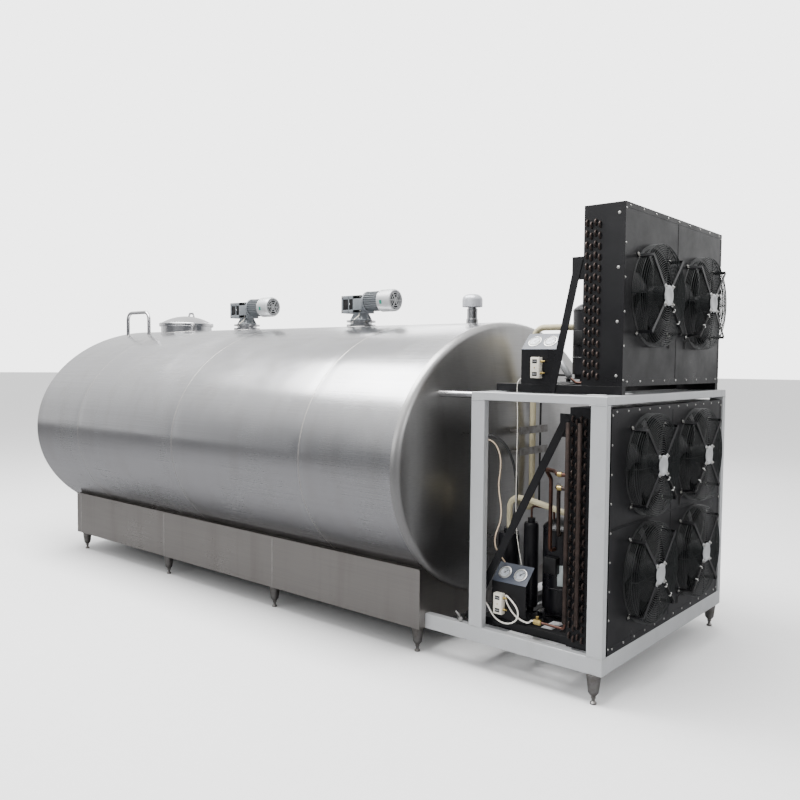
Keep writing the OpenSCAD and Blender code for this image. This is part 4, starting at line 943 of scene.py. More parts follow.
class TopFittingsOperator(bpy.types.Operator):
    """Builds the hoop handle, the vent and the weld rings round the top fittings"""
    bl_idname = "milktank.top_fittings"
    bl_label = "Top fittings"

    def execute(self, context):
        low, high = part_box("hoop_handle")
        r = 0.014
        y = (low.y + high.y) / 2
        foot = low.z + 0.004
        hoop = rounded([(low.x + r, y, foot), (low.x + r, y, high.z - r), (high.x - r, y, high.z - r),
                        (high.x - r, y, foot)], 0.06, 10)
        tube("hoop_tube", hoop, 2 * r, polished(), stands_for=("hoop_handle",), sides=8)
        self.make_vent()
        self.make_weld_rings(low, high, y, r)
        return {"FINISHED"}

    def make_vent(self):
        cap_low, cap_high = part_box("vent_cap")
        x = (cap_low.x + cap_high.x) / 2
        r = cap_high.x - x
        stand = Matrix.Translation((x, 0.0, cap_low.z))
        height = cap_high.z - cap_low.z
        bend = 0.037
        bm = bmesh.new()
        outside = [(r - 0.003, 0.018), (r - 0.003, 0.0), (r - 0.001, 0.0), (r, 0.001), (r, height - bend)]
        outside += [(r - bend + bend * math.cos(a), height - bend + bend * math.sin(a)) for a in
                    (math.pi / 2 * i / 10 for i in range(1, 11))]
        lathe(bm, [(0.0, 0.019), (r - 0.003, 0.018)] + outside[1:] + [(0.0, height)], stand, 72)
        piece("vent_mushroom", bm, cap_moulding(), stands_for=("vent_cap",))
        stem_r = 0.0275
        bm = bmesh.new()
        base = TOP_Z - 0.012
        lathe(bm, [(stem_r + 0.009, base), (stem_r + 0.009, TOP_Z + 0.020), (stem_r + 0.004, TOP_Z + 0.025),
                   (stem_r, TOP_Z + 0.027), (stem_r, TOP_Z + 0.078), (stem_r + 0.005, TOP_Z + 0.080),
                   (stem_r + 0.005, TOP_Z + 0.088), (stem_r, TOP_Z + 0.089), (stem_r, TOP_Z + 0.118)],
              Matrix.Translation((x, 0.0, 0.0)), 64)
        for i in range(8):
            a = math.pi / 4 * i
            block(bm, (stem_r - 0.001, -0.0015, TOP_Z + 0.026), (stem_r + 0.0035, 0.0015, TOP_Z + 0.079),
                  Matrix.Translation((x, 0.0, 0.0)) @ Matrix.Rotation(a, 4, "Z"))
        piece("vent_pipe", bm, polished())

    def make_weld_rings(self, low, high, y, r):
        """Fillet welds where the pipes and collars leave the barrel."""
        def skin_z(py):
            return AXIS_Z + OVAL_B * math.sqrt(1 - (py / OVAL_A) ** 2) - 0.001

        rings = [(manhole_x(), 0.0, NECK[1].y, 0.006), (low.x + r, y, r, 0.003), (high.x - r, y, r, 0.003)]
        rings += [(s.x, 0.0, 0.100, 0.005) for s in STIRRERS]
        for i, (x, cy, radius, bead) in enumerate(rings):
            path = []
            for j in range(64):
                a = 2 * math.pi * j / 64
                py = cy + radius * math.sin(a)
                path.append((x + radius * math.cos(a), py, skin_z(py) - bead * 0.15))
            tube(f"weld_ring_{i}", path, bead, weld_metal(), sides=3, cyclic=True)


class DrivesOperator(bpy.types.Operator):
    """Builds the two agitator gear motors"""
    bl_idname = "milktank.drives"
    bl_label = "Agitator drives"

    def execute(self, context):
        for i, stirrer in enumerate(STIRRERS):
            self.make_drive(i + 1, stirrer.x)
        return {"FINISHED"}

    def make_drive(self, number, x):
        first = number == 1
        collar_top = TOP_Z + 0.040
        gear_z = collar_top + 0.050
        left, right, half, tall = x - 0.130, x + 0.062, 0.065, 0.120
        motor_z = gear_z + 0.078
        motor_l = 0.140

        bm = bmesh.new()
        lathe(bm, [(0.0, 0.001), (0.075, 0.001), (0.075, 0.008), (0.073, 0.010), (0.054, 0.011), (0.050, 0.030),
                   (0.053, 0.051), (0.0, 0.051)], Matrix.Translation((x, 0.0, collar_top)), 48)
        for k in range(4):
            turn = Matrix.Translation((x, 0.0, collar_top)) @ Matrix.Rotation(math.pi / 4 + k * math.pi / 2, 4, "Z")
            rib = [(0.048, 0.010), (0.073, 0.010), (0.052, 0.050), (0.048, 0.050)]
            plate(bm, rib, 0.008, turn @ Matrix.Rotation(math.pi / 2, 4, "X") @ Matrix.Translation((0, 0, -0.004)))
        block(bm, (left, -half + 0.006, gear_z), (right, half - 0.006, gear_z + tall), bevel=0.006, segments=3)
        for s in (-1, 1):
            self.make_window(bm, left, right, s, half, gear_z, tall)
        block(bm, (left, -0.030, gear_z + 0.020), (left + 0.012, 0.030, gear_z + 0.090), bevel=0.003)
        # Painted shade: a thin black sheet lines the floor of each shallow side recess so that the recess reads dark.
        recess = bmesh.new()
        for s in (-1, 1):
            y0, y1 = sorted((s * (half - 0.0062), s * (half - 0.0052)))
            block(recess, (left + 0.016, y0, gear_z + 0.023), (left + 0.110, y1, gear_z + tall - 0.025), bevel=0.0003)
        piece(f"gear_recess_painted_shade_{number}", recess, black_moulding())
        piece(f"gear_case_{number}", bm, cast_enamel(), stands_for=("gear_housings",) if first else ())

        bm = bmesh.new()
        for k in range(6):
            a = math.pi / 3 * k
            hex_bolt(bm, (x + 0.064 * math.cos(a), 0.064 * math.sin(a), collar_top + 0.010), (0, 0, 1), 0.008, 0.007)
        for s in (-1, 1):
            pan_screw(bm, (left + 0.070, s * (half - 0.012), gear_z + 0.062), (0, s, 0), 0.016, 0.010)
            for dz in (0.012, tall - 0.012):
                for dx in (0.012, 0.180):
                    pan_screw(bm, (left + dx, s * (half - 0.001), gear_z + dz), (0, s, 0), 0.008)
        piece(f"gear_bolts_{number}", bm, zinc())

        bm = bmesh.new()
        along = place((right, 0.0, motor_z), (1, 0, 0))
        lathe(bm, [(0.0, 0.0005), (0.069, 0.0005), (0.069, 0.009), (0.066, 0.012), (0.058, 0.013),
                   (0.058, motor_l - 0.002), (0.0, motor_l - 0.002)], along, 64)
        for k in range(28):
            a = 2 * math.pi * k / 28
            if abs(math.sin(a)) < 0.35 and math.cos(a) > 0:
                continue
            block(bm, (0.054, -0.0014, 0.013), (0.0675, 0.0014, motor_l - 0.003), along @ Matrix.Rotation(a, 4, "Z"))
        block(bm, (right + 0.030, 0.050, motor_z + 0.010), (right + 0.120, 0.093, motor_z + 0.075), bevel=0.005)
        piece(f"motor_body_{number}", bm, cast_enamel(), stands_for=("agitator_motors",) if first else ())

        bm = bmesh.new()
        r, cowl_l = 0.0745, 0.112
        end = place((right + motor_l + 0.0005, 0.0, motor_z), (1, 0, 0))
        lathe(bm, [(r - 0.002, 0.0), (r, 0.0), (r, cowl_l - 0.012), (r - 0.003, cowl_l - 0.004), (r - 0.008, cowl_l),
                   (0.060, cowl_l), (0.060, cowl_l - 0.003), (r - 0.006, cowl_l - 0.006), (r - 0.002, cowl_l - 0.014),
                   (r - 0.002, 0.0)], end, 64)
        for ring in (0.018, 0.034, 0.050):
            lathe(bm, [(ring, cowl_l - 0.003), (ring + 0.0035, cowl_l - 0.003), (ring + 0.0035, cowl_l),
                       (ring, cowl_l), (ring, cowl_l - 0.003)], end, 48)
        for k in range(6):
            block(bm, (0.006, -0.003, cowl_l - 0.003), (0.062, 0.003, cowl_l),
                  end @ Matrix.Rotation(k * math.pi / 3, 4, "Z"))
        lathe(bm, [(0.0, cowl_l), (0.010, cowl_l), (0.010, cowl_l - 0.003), (0.0, cowl_l - 0.003)], end, 24)
        for k in range(4):
            a = math.pi / 4 + k * math.pi / 2
            spot = end @ Vector((r * math.cos(a), r * math.sin(a), 0.012))
            pan_screw(bm, spot, spot - (end @ Vector((0, 0, 0.012))), 0.008)
        piece(f"motor_cowl_{number}", bm, silver_enamel(), stands_for=("motor_cowls",) if first else ())

        bm = bmesh.new()
        lathe(bm, [(0.0, cowl_l - 0.030), (0.058, cowl_l - 0.030), (0.058, cowl_l - 0.028), (0.0, cowl_l - 0.028)],
              end, 32)
        for k in range(7):
            block(bm, (0.012, -0.001, cowl_l - 0.030), (0.056, 0.001, cowl_l - 0.012),
                  end @ Matrix.Rotation(k * math.tau / 7, 4, "Z"))
        piece(f"cooling_fan_{number}", bm, black_moulding())
        bm = bmesh.new()
        block(bm, (-0.010, -0.013, r - 0.0006), (0.010, 0.013, r + 0.0004),
              Matrix.Translation((right + motor_l + 0.040, 0.0, motor_z)) @ Matrix.Rotation(math.radians(100), 4, "X"))
        piece(f"motor_tag_{number}", bm, print_ink("green tag", (0.0, 0.16, 0.11)))
        cable = rounded([(x + 0.030, -0.045, gear_z + 0.004), (x + 0.036, -0.062, gear_z - 0.020),
                         (x + 0.020, -0.080, collar_top + 0.010), (x + 0.012, -0.0985, collar_top - 0.012)], 0.02, 5)
        tube(f"drive_lead_{number}", cable, 0.006, sheath("cream lead", (0.60, 0.56, 0.48), (0.5, 0.46, 0.38)),
             sides=4)

    def make_window(self, bm, left, right, s, half, gear_z, tall):
        """The raised border and rib round the side recess."""
        y0, y1 = sorted((s * (half - 0.007), s * half))
        for low, high in (((left, gear_z), (left + 0.016, gear_z + tall)),
                          ((left + 0.110, gear_z), (right, gear_z + tall)),
                          ((left, gear_z), (right, gear_z + 0.023)),
                          ((left, gear_z + tall - 0.025), (right, gear_z + tall)),
                          ((left + 0.066, gear_z), (left + 0.074, gear_z + tall))):
            block(bm, (low[0], y0, low[1]), (high[0], y1, high[1]), bevel=0.0025)


class FrameOperator(bpy.types.Operator):
    """Adds seams, welds and rounded edges to the base and the machine frame"""
    bl_idname = "milktank.frame"
    bl_label = "Base and frame"

    def execute(self, context):
        bm = bmesh.new()
        step = 1.18
        count = int((skirt[1].x - skirt[0].x) / step)
        for i in range(1, count + 1):
            x = skirt[1].x - i * step
            for y in (skirt[0].y, skirt[1].y):
                lift = 0.0009 if y > 0 else -0.0009
                y0, y1 = sorted((y - lift, y + lift))
                block(bm, (x - 0.0045, y0, skirt[0].z + 0.002), (x + 0.0045, y1, skirt[1].z - 0.012), bevel=0.0006)
        piece("skirt_seams", bm, weld_metal())
        bm = bmesh.new()
        for y in (skirt[0].y, skirt[1].y):
            y0, y1 = (y - 0.004, y + 0.010) if y < 0 else (y - 0.010, y + 0.004)
            block(bm, (skirt[0].x, y0, skirt[1].z - 0.004), (skirt[1].x, y1, skirt[1].z + 0.001), bevel=0.001)
        piece("skirt_ledges", bm, stainless_skirt())
        self.make_frame_welds()
        self.make_cock()
        return {"FINISHED"}

    def make_frame_welds(self):
        """Wavy fillet beads where the box sections meet."""
        rails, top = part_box("frame_bottom_rails"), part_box("frame_top_rails")
        lines = []
        for x0 in (posts[0].x, posts[1].x - 0.080):
            for y, out in ((posts[0].y, -1), (posts[1].y, 1)):
                for z in (rails[1].z, top[0].z):
                    lines.append(((x0, y + out * 0.0003, z), (x0 + 0.080, y + out * 0.0003, z)))
                inner = y - out * 0.040
                lines.append(((x0, inner, rails[1].z), (x0 + 0.080, inner, rails[1].z)))
        for x in (posts[0].x, posts[0].x + 0.080, posts[1].x):
            lines.append(((x, posts[0].y, posts[0].z), (x, posts[0].y + 0.040, posts[0].z)))
        face = posts[1].x - 0.0005
        for y in (posts[0].y + 0.080, posts[1].y - 0.080):
            lines.append(((face, y, top[0].z), (face, y, top[1].z)))
        bm = bmesh.new()
        for a, b in lines:
            a, b = Vector(a), Vector(b)
            n = max(3, int((b - a).length / 0.005))
            for i in range(n):
                spot = a.lerp(b, (i + 0.5) / n)
                made = bmesh.ops.create_icosphere(bm, subdivisions=1, radius=0.0026)["verts"]
                stretch = Matrix.Diagonal((1.15, 1.0, 1.0, 1.0))
                bmesh.ops.transform(bm, matrix=Matrix.Translation(spot) @ stretch, verts=made)
        piece("frame_welds", bm, frame_paint(), sharp=80.0)

    def make_cock(self):
        """A small drain cock on the lower rail."""
        bm = bmesh.new()
        x, y, z = DATUM - 0.803, posts[0].y + 0.020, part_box("frame_bottom_rails")[1].z
        lathe(bm, [(0.0, 0.0), (0.012, 0.0), (0.012, 0.006), (0.008, 0.008), (0.008, 0.022), (0.0, 0.022)],
              Matrix.Translation((x, y, z)), 20)
        lathe(bm, [(0.0, -0.022), (0.009, -0.022), (0.009, 0.018), (0.0, 0.018)],
              place((x, y, z + 0.018), (0.8, -0.6, 0)), 20)
        block(bm, (-0.003, -0.004, 0.0), (0.003, 0.004, 0.034),
              Matrix.Translation((x, y, z + 0.026)) @ Matrix.Rotation(math.radians(-52), 4, "Y"), bevel=0.001)
        piece("drain_cock", bm, zinc())


class CondensersOperator(bpy.types.Operator):
    """Adds fins, screws, flanges and stiffeners to the condensers"""
    bl_idname = "milktank.condensers"
    bl_label = "Condensers"

    def execute(self, context):
        upper = (DATUM - 0.028, 0.070, posts[1].z + 0.080, 1.264, 0.852)
        lower = (DATUM - 0.005, 0.000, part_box("frame_bottom_rails")[1].z, 1.410, 1.127)
        fins = bmesh.new()
        screws = bmesh.new()
        trims = bmesh.new()
        for number, (front, mid, low, wide, tall) in enumerate((upper, lower)):
            self.add_fins(fins, front, mid, low, wide, tall)
            self.add_screws(screws, front, mid, low, wide, tall, number)
            self.add_trims(trims, front, mid, low, wide, tall, number)
        piece("fin_stacks", fins, fin_metal(), stands_for=("fin_packs",))
        piece("casing_screws", screws, zinc())
        piece("casing_flanges", trims, black_coat())
        return {"FINISHED"}

    def add_fins(self, bm, front, mid, low, wide, tall):
        back, deep, sheet = front - 0.208, 0.101, 0.002
        y = mid - wide / 2 + 2 * sheet
        while y < mid + wide / 2 - 2 * sheet:
            corners = [(back + 0.002, y), (back + deep, y), (back + deep, y + 0.0006), (back + 0.002, y + 0.0006)]
            ring = [[bm.verts.new((x, cy, z)) for x, cy in corners] for z in (low + sheet, low + tall - sheet)]
            for i in range(4):
                bm.faces.new((ring[0][i - 1], ring[0][i], ring[1][i], ring[1][i - 1]))
            bm.faces.new(ring[0])
            bm.faces.new(ring[1])
            y += sizes().fin_pitch
        pitch = 0.0254
        rows = int((tall - 0.06) / pitch)
        for c in range(4):
            for r in range(rows):
                x = front - 0.107 - 0.017 - c * 0.022
                z = low + 0.045 - pitch / 2 + (c % 2) * 0.012 + r * pitch
                lathe(bm, [(0.0048, mid - wide / 2 + sheet), (0.0048, mid + wide / 2 - sheet)],
                      Matrix.Translation((x, 0.0, z)) @ Matrix.Rotation(-math.pi / 2, 4, "X"), 8)

    def add_screws(self, bm, front, mid, low, wide, tall, number):
        d = sizes().screw
        left, right = mid - wide / 2, mid + wide / 2
        for side in (left + 0.010, right - 0.010):
            steps = 6 if number == 0 else 9
            for i in range(steps):
                pan_screw(bm, (front, side, low + 0.03 + (tall - 0.06) * i / (steps - 1)), (1, 0, 0), d)
        across = 9 if number == 0 else 12
        for i in range(across):
            y = left + 0.05 + (wide - 0.10) * i / (across - 1)
            pan_screw(bm, (front, y, low + 0.022), (1, 0, 0), d)
            pan_screw(bm, (front, y, low + tall - 0.014), (1, 0, 0), d)
        for i in range(4 if number == 0 else 6):
            z = low + 0.05 + (tall - 0.10) * i / (3 if number == 0 else 5)
            pan_screw(bm, (front - 0.030, left, z), (0, -1, 0), d)
            pan_screw(bm, (front - 0.030, right, z), (0, 1, 0), d)

    def add_trims(self, bm, front, mid, low, wide, tall, number):
        """Folded edges, the middle joint and the stiffening strips between the fans."""
        left, right = mid - wide / 2, mid + wide / 2
        for y0, y1 in ((left, left + 0.020), (right - 0.020, right)):
            block(bm, (front - 0.0005, y0, low), (front + 0.0012, y1, low + tall), bevel=0.0004, segments=1)
        for z0, z1 in ((low, low + 0.034), (low + tall - 0.026, low + tall)):
            block(bm, (front - 0.0005, left + 0.02, z0), (front + 0.0012, right - 0.02, z1), bevel=0.0004, segments=1)
        block(bm, (front - 0.0005, mid - 0.009, low + 0.034), (front + 0.0014, mid + 0.009, low + tall - 0.026),
              bevel=0.0004, segments=1)
        if number == 1:
            for z in (low + 0.580, low + 0.5725):
                block(bm, (front - 0.0005, left + 0.02, z), (front + 0.003, right - 0.02, z + 0.0035), bevel=0.0006)
        back = front - 0.208
        for y0, y1 in ((left, left + 0.014), (right - 0.014, right)):
            block(bm, (back, y0, low), (back + 0.0018, y1, low + tall), bevel=0.0004, segments=1)


class FansOperator(bpy.types.Operator):
    """Builds the wire guards, hub plates, motors and impellers of the six fans"""
    bl_idname = "milktank.fans"
    bl_label = "Fans"

    def execute(self, context):
        guards, plates, cans, bolts, ties = (bmesh.new() for _ in range(5))
        for number, fan in enumerate(FANS):
            self.add_guard(guards, fan)
            self.add_hub(plates, cans, bolts, fan)
            self.add_ties(ties, fan, number)
            self.make_impeller(number + 1, fan)
        piece("guard_wires", guards, black_wire(), stands_for=("fan_guards",), sharp=60.0)
        piece("hub_plates", plates, silver_enamel(), stands_for=("fan_motors",))
        piece("motor_cans", cans, shell_enamel())
        piece("hub_bolts", bolts, zinc())
        piece("cable_ties", ties, sheath("white tie", (0.62, 0.62, 0.60), (0.5, 0.5, 0.48)))
        self.make_leads()
        return {"FINISHED"}

    def add_guard(self, bm, fan):
        wire = sizes().wire
        r0, r1, deep = 0.062, 0.2485, 0.070
        bend = 0.026
        stations = [(r1, 0.002 + i * 0.0078) for i in range(6)]
        stations += [(r1 - bend + bend * math.cos(a), deep - bend + bend * math.sin(a)) for a in
                     (math.pi / 2 * i / 4 for i in range(5))]
        steps = 15
        stations += [(r1 - bend - (r1 - bend - r0) * i / steps, deep + 0.003 * math.sin(math.pi / 2 * i / steps))
                     for i in range(1, steps + 1)]
        m = place(fan, (1, 0, 0))
        for r, h in stations:
            self.ring(bm, m, r, h, wire)
        profile = [(r1, 0.0)] + stations[5:]
        for k in range(4):
            turn = m @ Matrix.Rotation(k * math.pi / 2, 4, "Z")
            self.spoke(bm, turn, [Vector((r, 0.0, h - wire * 0.9)) for r, h in profile], wire * 1.15)

    def ring(self, bm, m, r, h, wire, around=72, sides=5):
        rings = []
        for i in range(around):
            a = math.tau * i / around
            rings.append([bm.verts.new(m @ Vector((
                (r + wire / 2 * math.cos(b)) * math.cos(a), (r + wire / 2 * math.cos(b)) * math.sin(a),
                h + wire / 2 * math.sin(b)))) for b in (math.tau * j / sides for j in range(sides))])
        for i in range(around):
            for j in range(sides):
                bm.faces.new((rings[i - 1][j - 1], rings[i - 1][j], rings[i][j], rings[i][j - 1]))

    def spoke(self, bm, m, path, wire, sides=5):
        rings = []
        for i, p in enumerate(path):
            ahead = (path[min(i + 1, len(path) - 1)] - path[max(i - 1, 0)]).normalized()
            across = Vector((0, 1, 0))
            up = ahead.cross(across)
            rings.append([bm.verts.new(m @ (p + (across * math.cos(b) + up * math.sin(b)) * wire / 2))
                          for b in (math.tau * j / sides for j in range(sides))])
        for a, b in zip(rings, rings[1:]):
            for j in range(sides):
                bm.faces.new((a[j - 1], a[j], b[j], b[j - 1]))
        bm.faces.new(rings[0])
        bm.faces.new(rings[-1])

    def add_hub(self, plates, cans, bolts, fan):
        hub = 0.078
        m = place(fan, (1, 0, 0))
        lathe(plates, [(0.0, hub), (0.050, hub), (0.050, hub + 0.003), (0.047, hub + 0.005), (0.030, hub + 0.005),
                       (0.027, hub + 0.003), (0.0, hub + 0.003)], m, 48)
        for k in range(4):
            a = math.pi / 4 + k * math.pi / 2
            turn = m @ Matrix.Rotation(a, 4, "Z")
            lug = [(0.040, -0.012), (0.066, -0.010), (0.071, -0.005), (0.071, 0.005), (0.066, 0.010), (0.040, 0.012)]
            plate(plates, lug, 0.004, turn @ Matrix.Translation((0, 0, hub)))
            hex_bolt(bolts, turn @ Vector((0.061, 0.0, hub + 0.004)), (1, 0, 0), 0.009, 0.008)
            hex_bolt(bolts, turn @ Vector((0.253, 0.0, 0.0)) + Vector((0.003, 0, 0)), (1, 0, 0), 0.008, 0.006)
            foot = turn @ Vector((0.266, 0.0, 0.003))
            hex_bolt(bolts, foot, (1, 0, 0), 0.008, 0.007)
        lathe(cans, [(0.0, 0.020), (0.043, 0.020), (0.046, 0.024), (0.046, 0.071), (0.043, 0.0745), (0.0, 0.0745)],
              m, 48)
        lathe(cans, [(0.0, -0.040), (0.006, -0.040), (0.006, 0.021), (0.0, 0.021)], m, 24)

    def add_ties(self, bm, fan, number):
        """White cable ties where the motor lead is held to its arm."""
        arm = math.radians(-45) if number % 2 == 0 else math.radians(-135)
        out = Vector((0.0, math.cos(arm), math.sin(arm)))
        for r in (0.100, 0.180):
            spot = fan + out * r + Vector((0.0785, 0, 0))
            m = Matrix.Translation(spot) @ Matrix.Rotation(arm, 4, "X")
            block(bm, (-0.0055, -0.002, -0.0105), (0.0055, 0.002, 0.0105), m, bevel=0.001)

    def make_leads(self):
        """Motor leads that lie along their arms and enter the casing below the guard."""
        look = black_rubber()
        for number, fan in enumerate(FANS):
            arm = math.radians(-45) if number % 2 == 0 else math.radians(-135)
            out = Vector((0.0, math.cos(arm), math.sin(arm)))
            route = [fan + out * 0.045 + Vector((0.081, 0, 0)), fan + out * 0.256 + Vector((0.081, 0, 0)),
                     fan + out * 0.262 + Vector((0.030, 0, 0)),
                     fan + out * 0.275 + Vector((0.004, 0, -0.02)), fan + out * 0.285 + Vector((0.004, 0, -0.05))]
            tube(f"fan_lead_{number + 1}", rounded(route, 0.015, 5), 0.006, look, sides=4)

    def make_impeller(self, number, fan):
        """A moulded hub drum with five swept, pitched blades."""
        m = place(fan, (1, 0, 0))
        bm = bmesh.new()
        lathe(bm, [(0.0062, -0.041), (0.046, -0.045), (0.050, -0.042), (0.051, 0.014), (0.047, 0.0175),
                   (0.0062, 0.0175), (0.0062, -0.041)], m, 48)
        radial, chord = 12, 9
        for b in range(5):
            skins = []
            for lift in (0.0011, -0.0011):
                grid = []
                for i in range(radial + 1):
                    u = i / radial
                    r = 0.046 + (0.219 - 0.046) * u
                    width = 0.090 + 0.035 * u - 0.045 * max(0.0, u - 0.8) / 0.2 * 0.6
                    lean = 0.50 * u * u
                    pitch = math.radians(33 - 12 * u)
                    row = []
                    for j in range(chord + 1):
                        v = j / chord - 0.5
                        camber = 0.010 * (0.25 - v * v) * 4 * (0.4 + 0.6 * u)
                        a = b * math.tau / 5 + lean + v * width * math.cos(pitch) / r
                        h = -0.014 + v * width * math.sin(pitch) * 0.62 + camber * 0.6 + lift
                        height = max(-0.044, min(0.0165, h))
                        row.append(bm.verts.new(m @ Vector((r * math.cos(a), r * math.sin(a), height))))
                    grid.append(row)
                for g, n in zip(grid, grid[1:]):
                    for j in range(chord):
                        bm.faces.new((g[j], g[j + 1], n[j + 1], n[j]))
                skins.append(grid)
            top, under = skins
            for line in ([(i, 0) for i in range(radial + 1)], [(i, chord) for i in range(radial + 1)],
                         [(0, j) for j in range(chord + 1)], [(radial, j) for j in range(chord + 1)]):
                for (i, j), (k, l) in zip(line, line[1:]):
                    bm.faces.new((top[i][j], top[k][l], under[k][l], under[i][j]))
        piece(f"impeller_blades_{number}", bm, black_moulding(), body=f"impeller_{number}",
              stands_for=(f"impeller_{number}",), sharp=50.0)


class PlumbingOperator(bpy.types.Operator):
    """Runs the insulated suction pipes, the copper lines, headers and the filter drier"""
    bl_idname = "milktank.plumbing"
    bl_label = "Plumbing"

    def execute(self, context):
        wrap = insulation()
        riser, bottle, top = (-0.861, 0.038), (-0.640, 0.300), 1.756
        deck = posts[1].z + 0.080
        runs = [
            ("suction_lower", [(-.690, -.462, .680), (-.690, -.462, .848), (-.560, -.472, .842),
                               (-.290, -.480, .790), (-.290, -.480, .5613)], 0.060, 0.030),
            ("suction_riser_foot", [(riser[0] - .045, riser[1], .700), (*riser, .700), (*riser, .761)], 0.034, 0.036),
            ("suction_riser", [(*riser, .760), (*riser, top), (bottle[0], riser[1], top), (*bottle, top),
                               (*bottle, deck + .236)], 0.070, 0.036),
            ("suction_upper", [(-.6154, .2505, deck + .150), (-.5492, .1171, deck + .150)], 0.02, 0.030),
        ]
        for i, (name, route, bend, d) in enumerate(runs):
            tube(name, rounded([at(*p) for p in route], bend, 12), d, wrap,
                 stands_for=("suction_pipes",) if i == 0 else (), sides=8)
        self.make_copper()
        self.make_joints()
        return {"FINISHED"}

    def make_copper(self):
        end_y = -0.735
        red, dark = copper(), dark_copper()
        headers = (-0.206, -0.145)
        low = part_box("frame_bottom_rails")[1].z
        bm = bmesh.new()
        for x in headers:
            lathe(bm, [(0.0, low + .115), (0.009, low + .115), (0.011, low + .118), (0.011, low + 1.054),
                       (0.009, low + 1.057), (0.0, low + 1.057)], Matrix.Translation(at(x, end_y, 0.0)), 28)
            for k in range(1, 10):
                spot = at(x, end_y, low + .0824 + k * 4 * .0254)
                lathe(bm, [(0.0045, 0.0), (0.0045, 0.030)], place(spot, (0, 1, 0)), 14)
        piece("header_tubes", bm, dark, stands_for=("copper_pipes",))
        oil = Vector((-0.400, -0.412))
        ray = Vector((math.cos(math.radians(-70)), math.sin(math.radians(-70))))
        near, touch = oil + ray * 0.1463, oil + ray * 0.1003
        lines = [
            ("discharge_line", [(-.211, end_y, 1.033), (-.258, end_y, 1.033), (-.318, -.650, 1.033),
                                (-.390, -.610, 1.033), (-.390, -.560, .980), (-.390, -.560, .620),
                                (-.390, -.5123, .620)], 0.028, 0.020, red),
            ("oil_line", [(-.211, end_y, .969), (-.258, end_y, .969), (-.300, -.640, .969), (-.330, -.590, .900),
                          (near.x, near.y, .700), (touch.x, touch.y, .700)], 0.022, 0.020, dark),
            ("drain_line", [(-.206, end_y, .338), (-.206, end_y, .310), (-.334, -.729, .310)], 0.018, 0.012, red),
            ("liquid_riser", [(-.891, .138, .720), (-.869, .138, .720), (-.869, .138, 1.480), (-.690, .138, 1.480),
                              (-.690, -.342, 1.500), (-.560, -.342, 1.600), (-.492, -.342, 1.5885)], 0.020, 0.012,
             black_rubber()),
            ("bottle_line", [(-.562, -.452, .7483), (-.562, -.452, .810), (-.430, -.452, .810),
                             (-.430, -.452, .7576)], 0.024, 0.012, red),
            ("drier_outlet", [(-.420, -.342, 1.483), (-.413, -.342, 1.473), (-.380, -.342, 1.4513),
                              (-.2363, -.342, 1.4513)], 0.016, 0.012, red),
        ]
        for name, route, bend, d, look in lines:
            tube(name, rounded([at(*p) for p in route], bend, 10), d, look, sides=6)
        bm = bmesh.new()
        ends = at(-.492, -.342, 1.587), at(-.408, -.342, 1.466)
        axis, long = (ends[1] - ends[0]).normalized(), (ends[1] - ends[0]).length
        lathe(bm, [(0.0, 0.0), (0.006, 0.0), (0.006, 0.010), (0.010, 0.012), (0.0168, 0.022), (0.0168, long - 0.022),
                   (0.010, long - 0.012), (0.006, long - 0.010), (0.006, long), (0.0, long)], place(ends[0], axis), 40)
        piece("filter_drier", bm, silver_enamel())

    def make_joints(self):
        """Brazed collars, the small service valve and its cap."""
        bm = bmesh.new()
        for x, z, r in ((-.243, 1.033, .0122), (-.243, .969, .0122)):
            lathe(bm, [(r - .002, -0.012), (r, -0.010), (r, 0.010), (r - .002, 0.012)],
                  place(at(x, -.735, z), (1, 0, 0)), 24)
        spot = at(-.352, -.729, .310)
        lathe(bm, [(0.0, -0.020), (0.013, -0.020), (0.0145, -0.016), (0.0145, 0.016), (0.010, 0.020), (0.0, 0.020)],
              place(spot, (1, 0, 0)), 6)
        lathe(bm, [(0.0, 0.0), (0.007, 0.0), (0.007, 0.018), (0.0, 0.018)],
              place(spot + Vector((0, 0, 0.010)), (0, -0.3, 1)), 16)
        piece("pipe_joints", bm, brass())


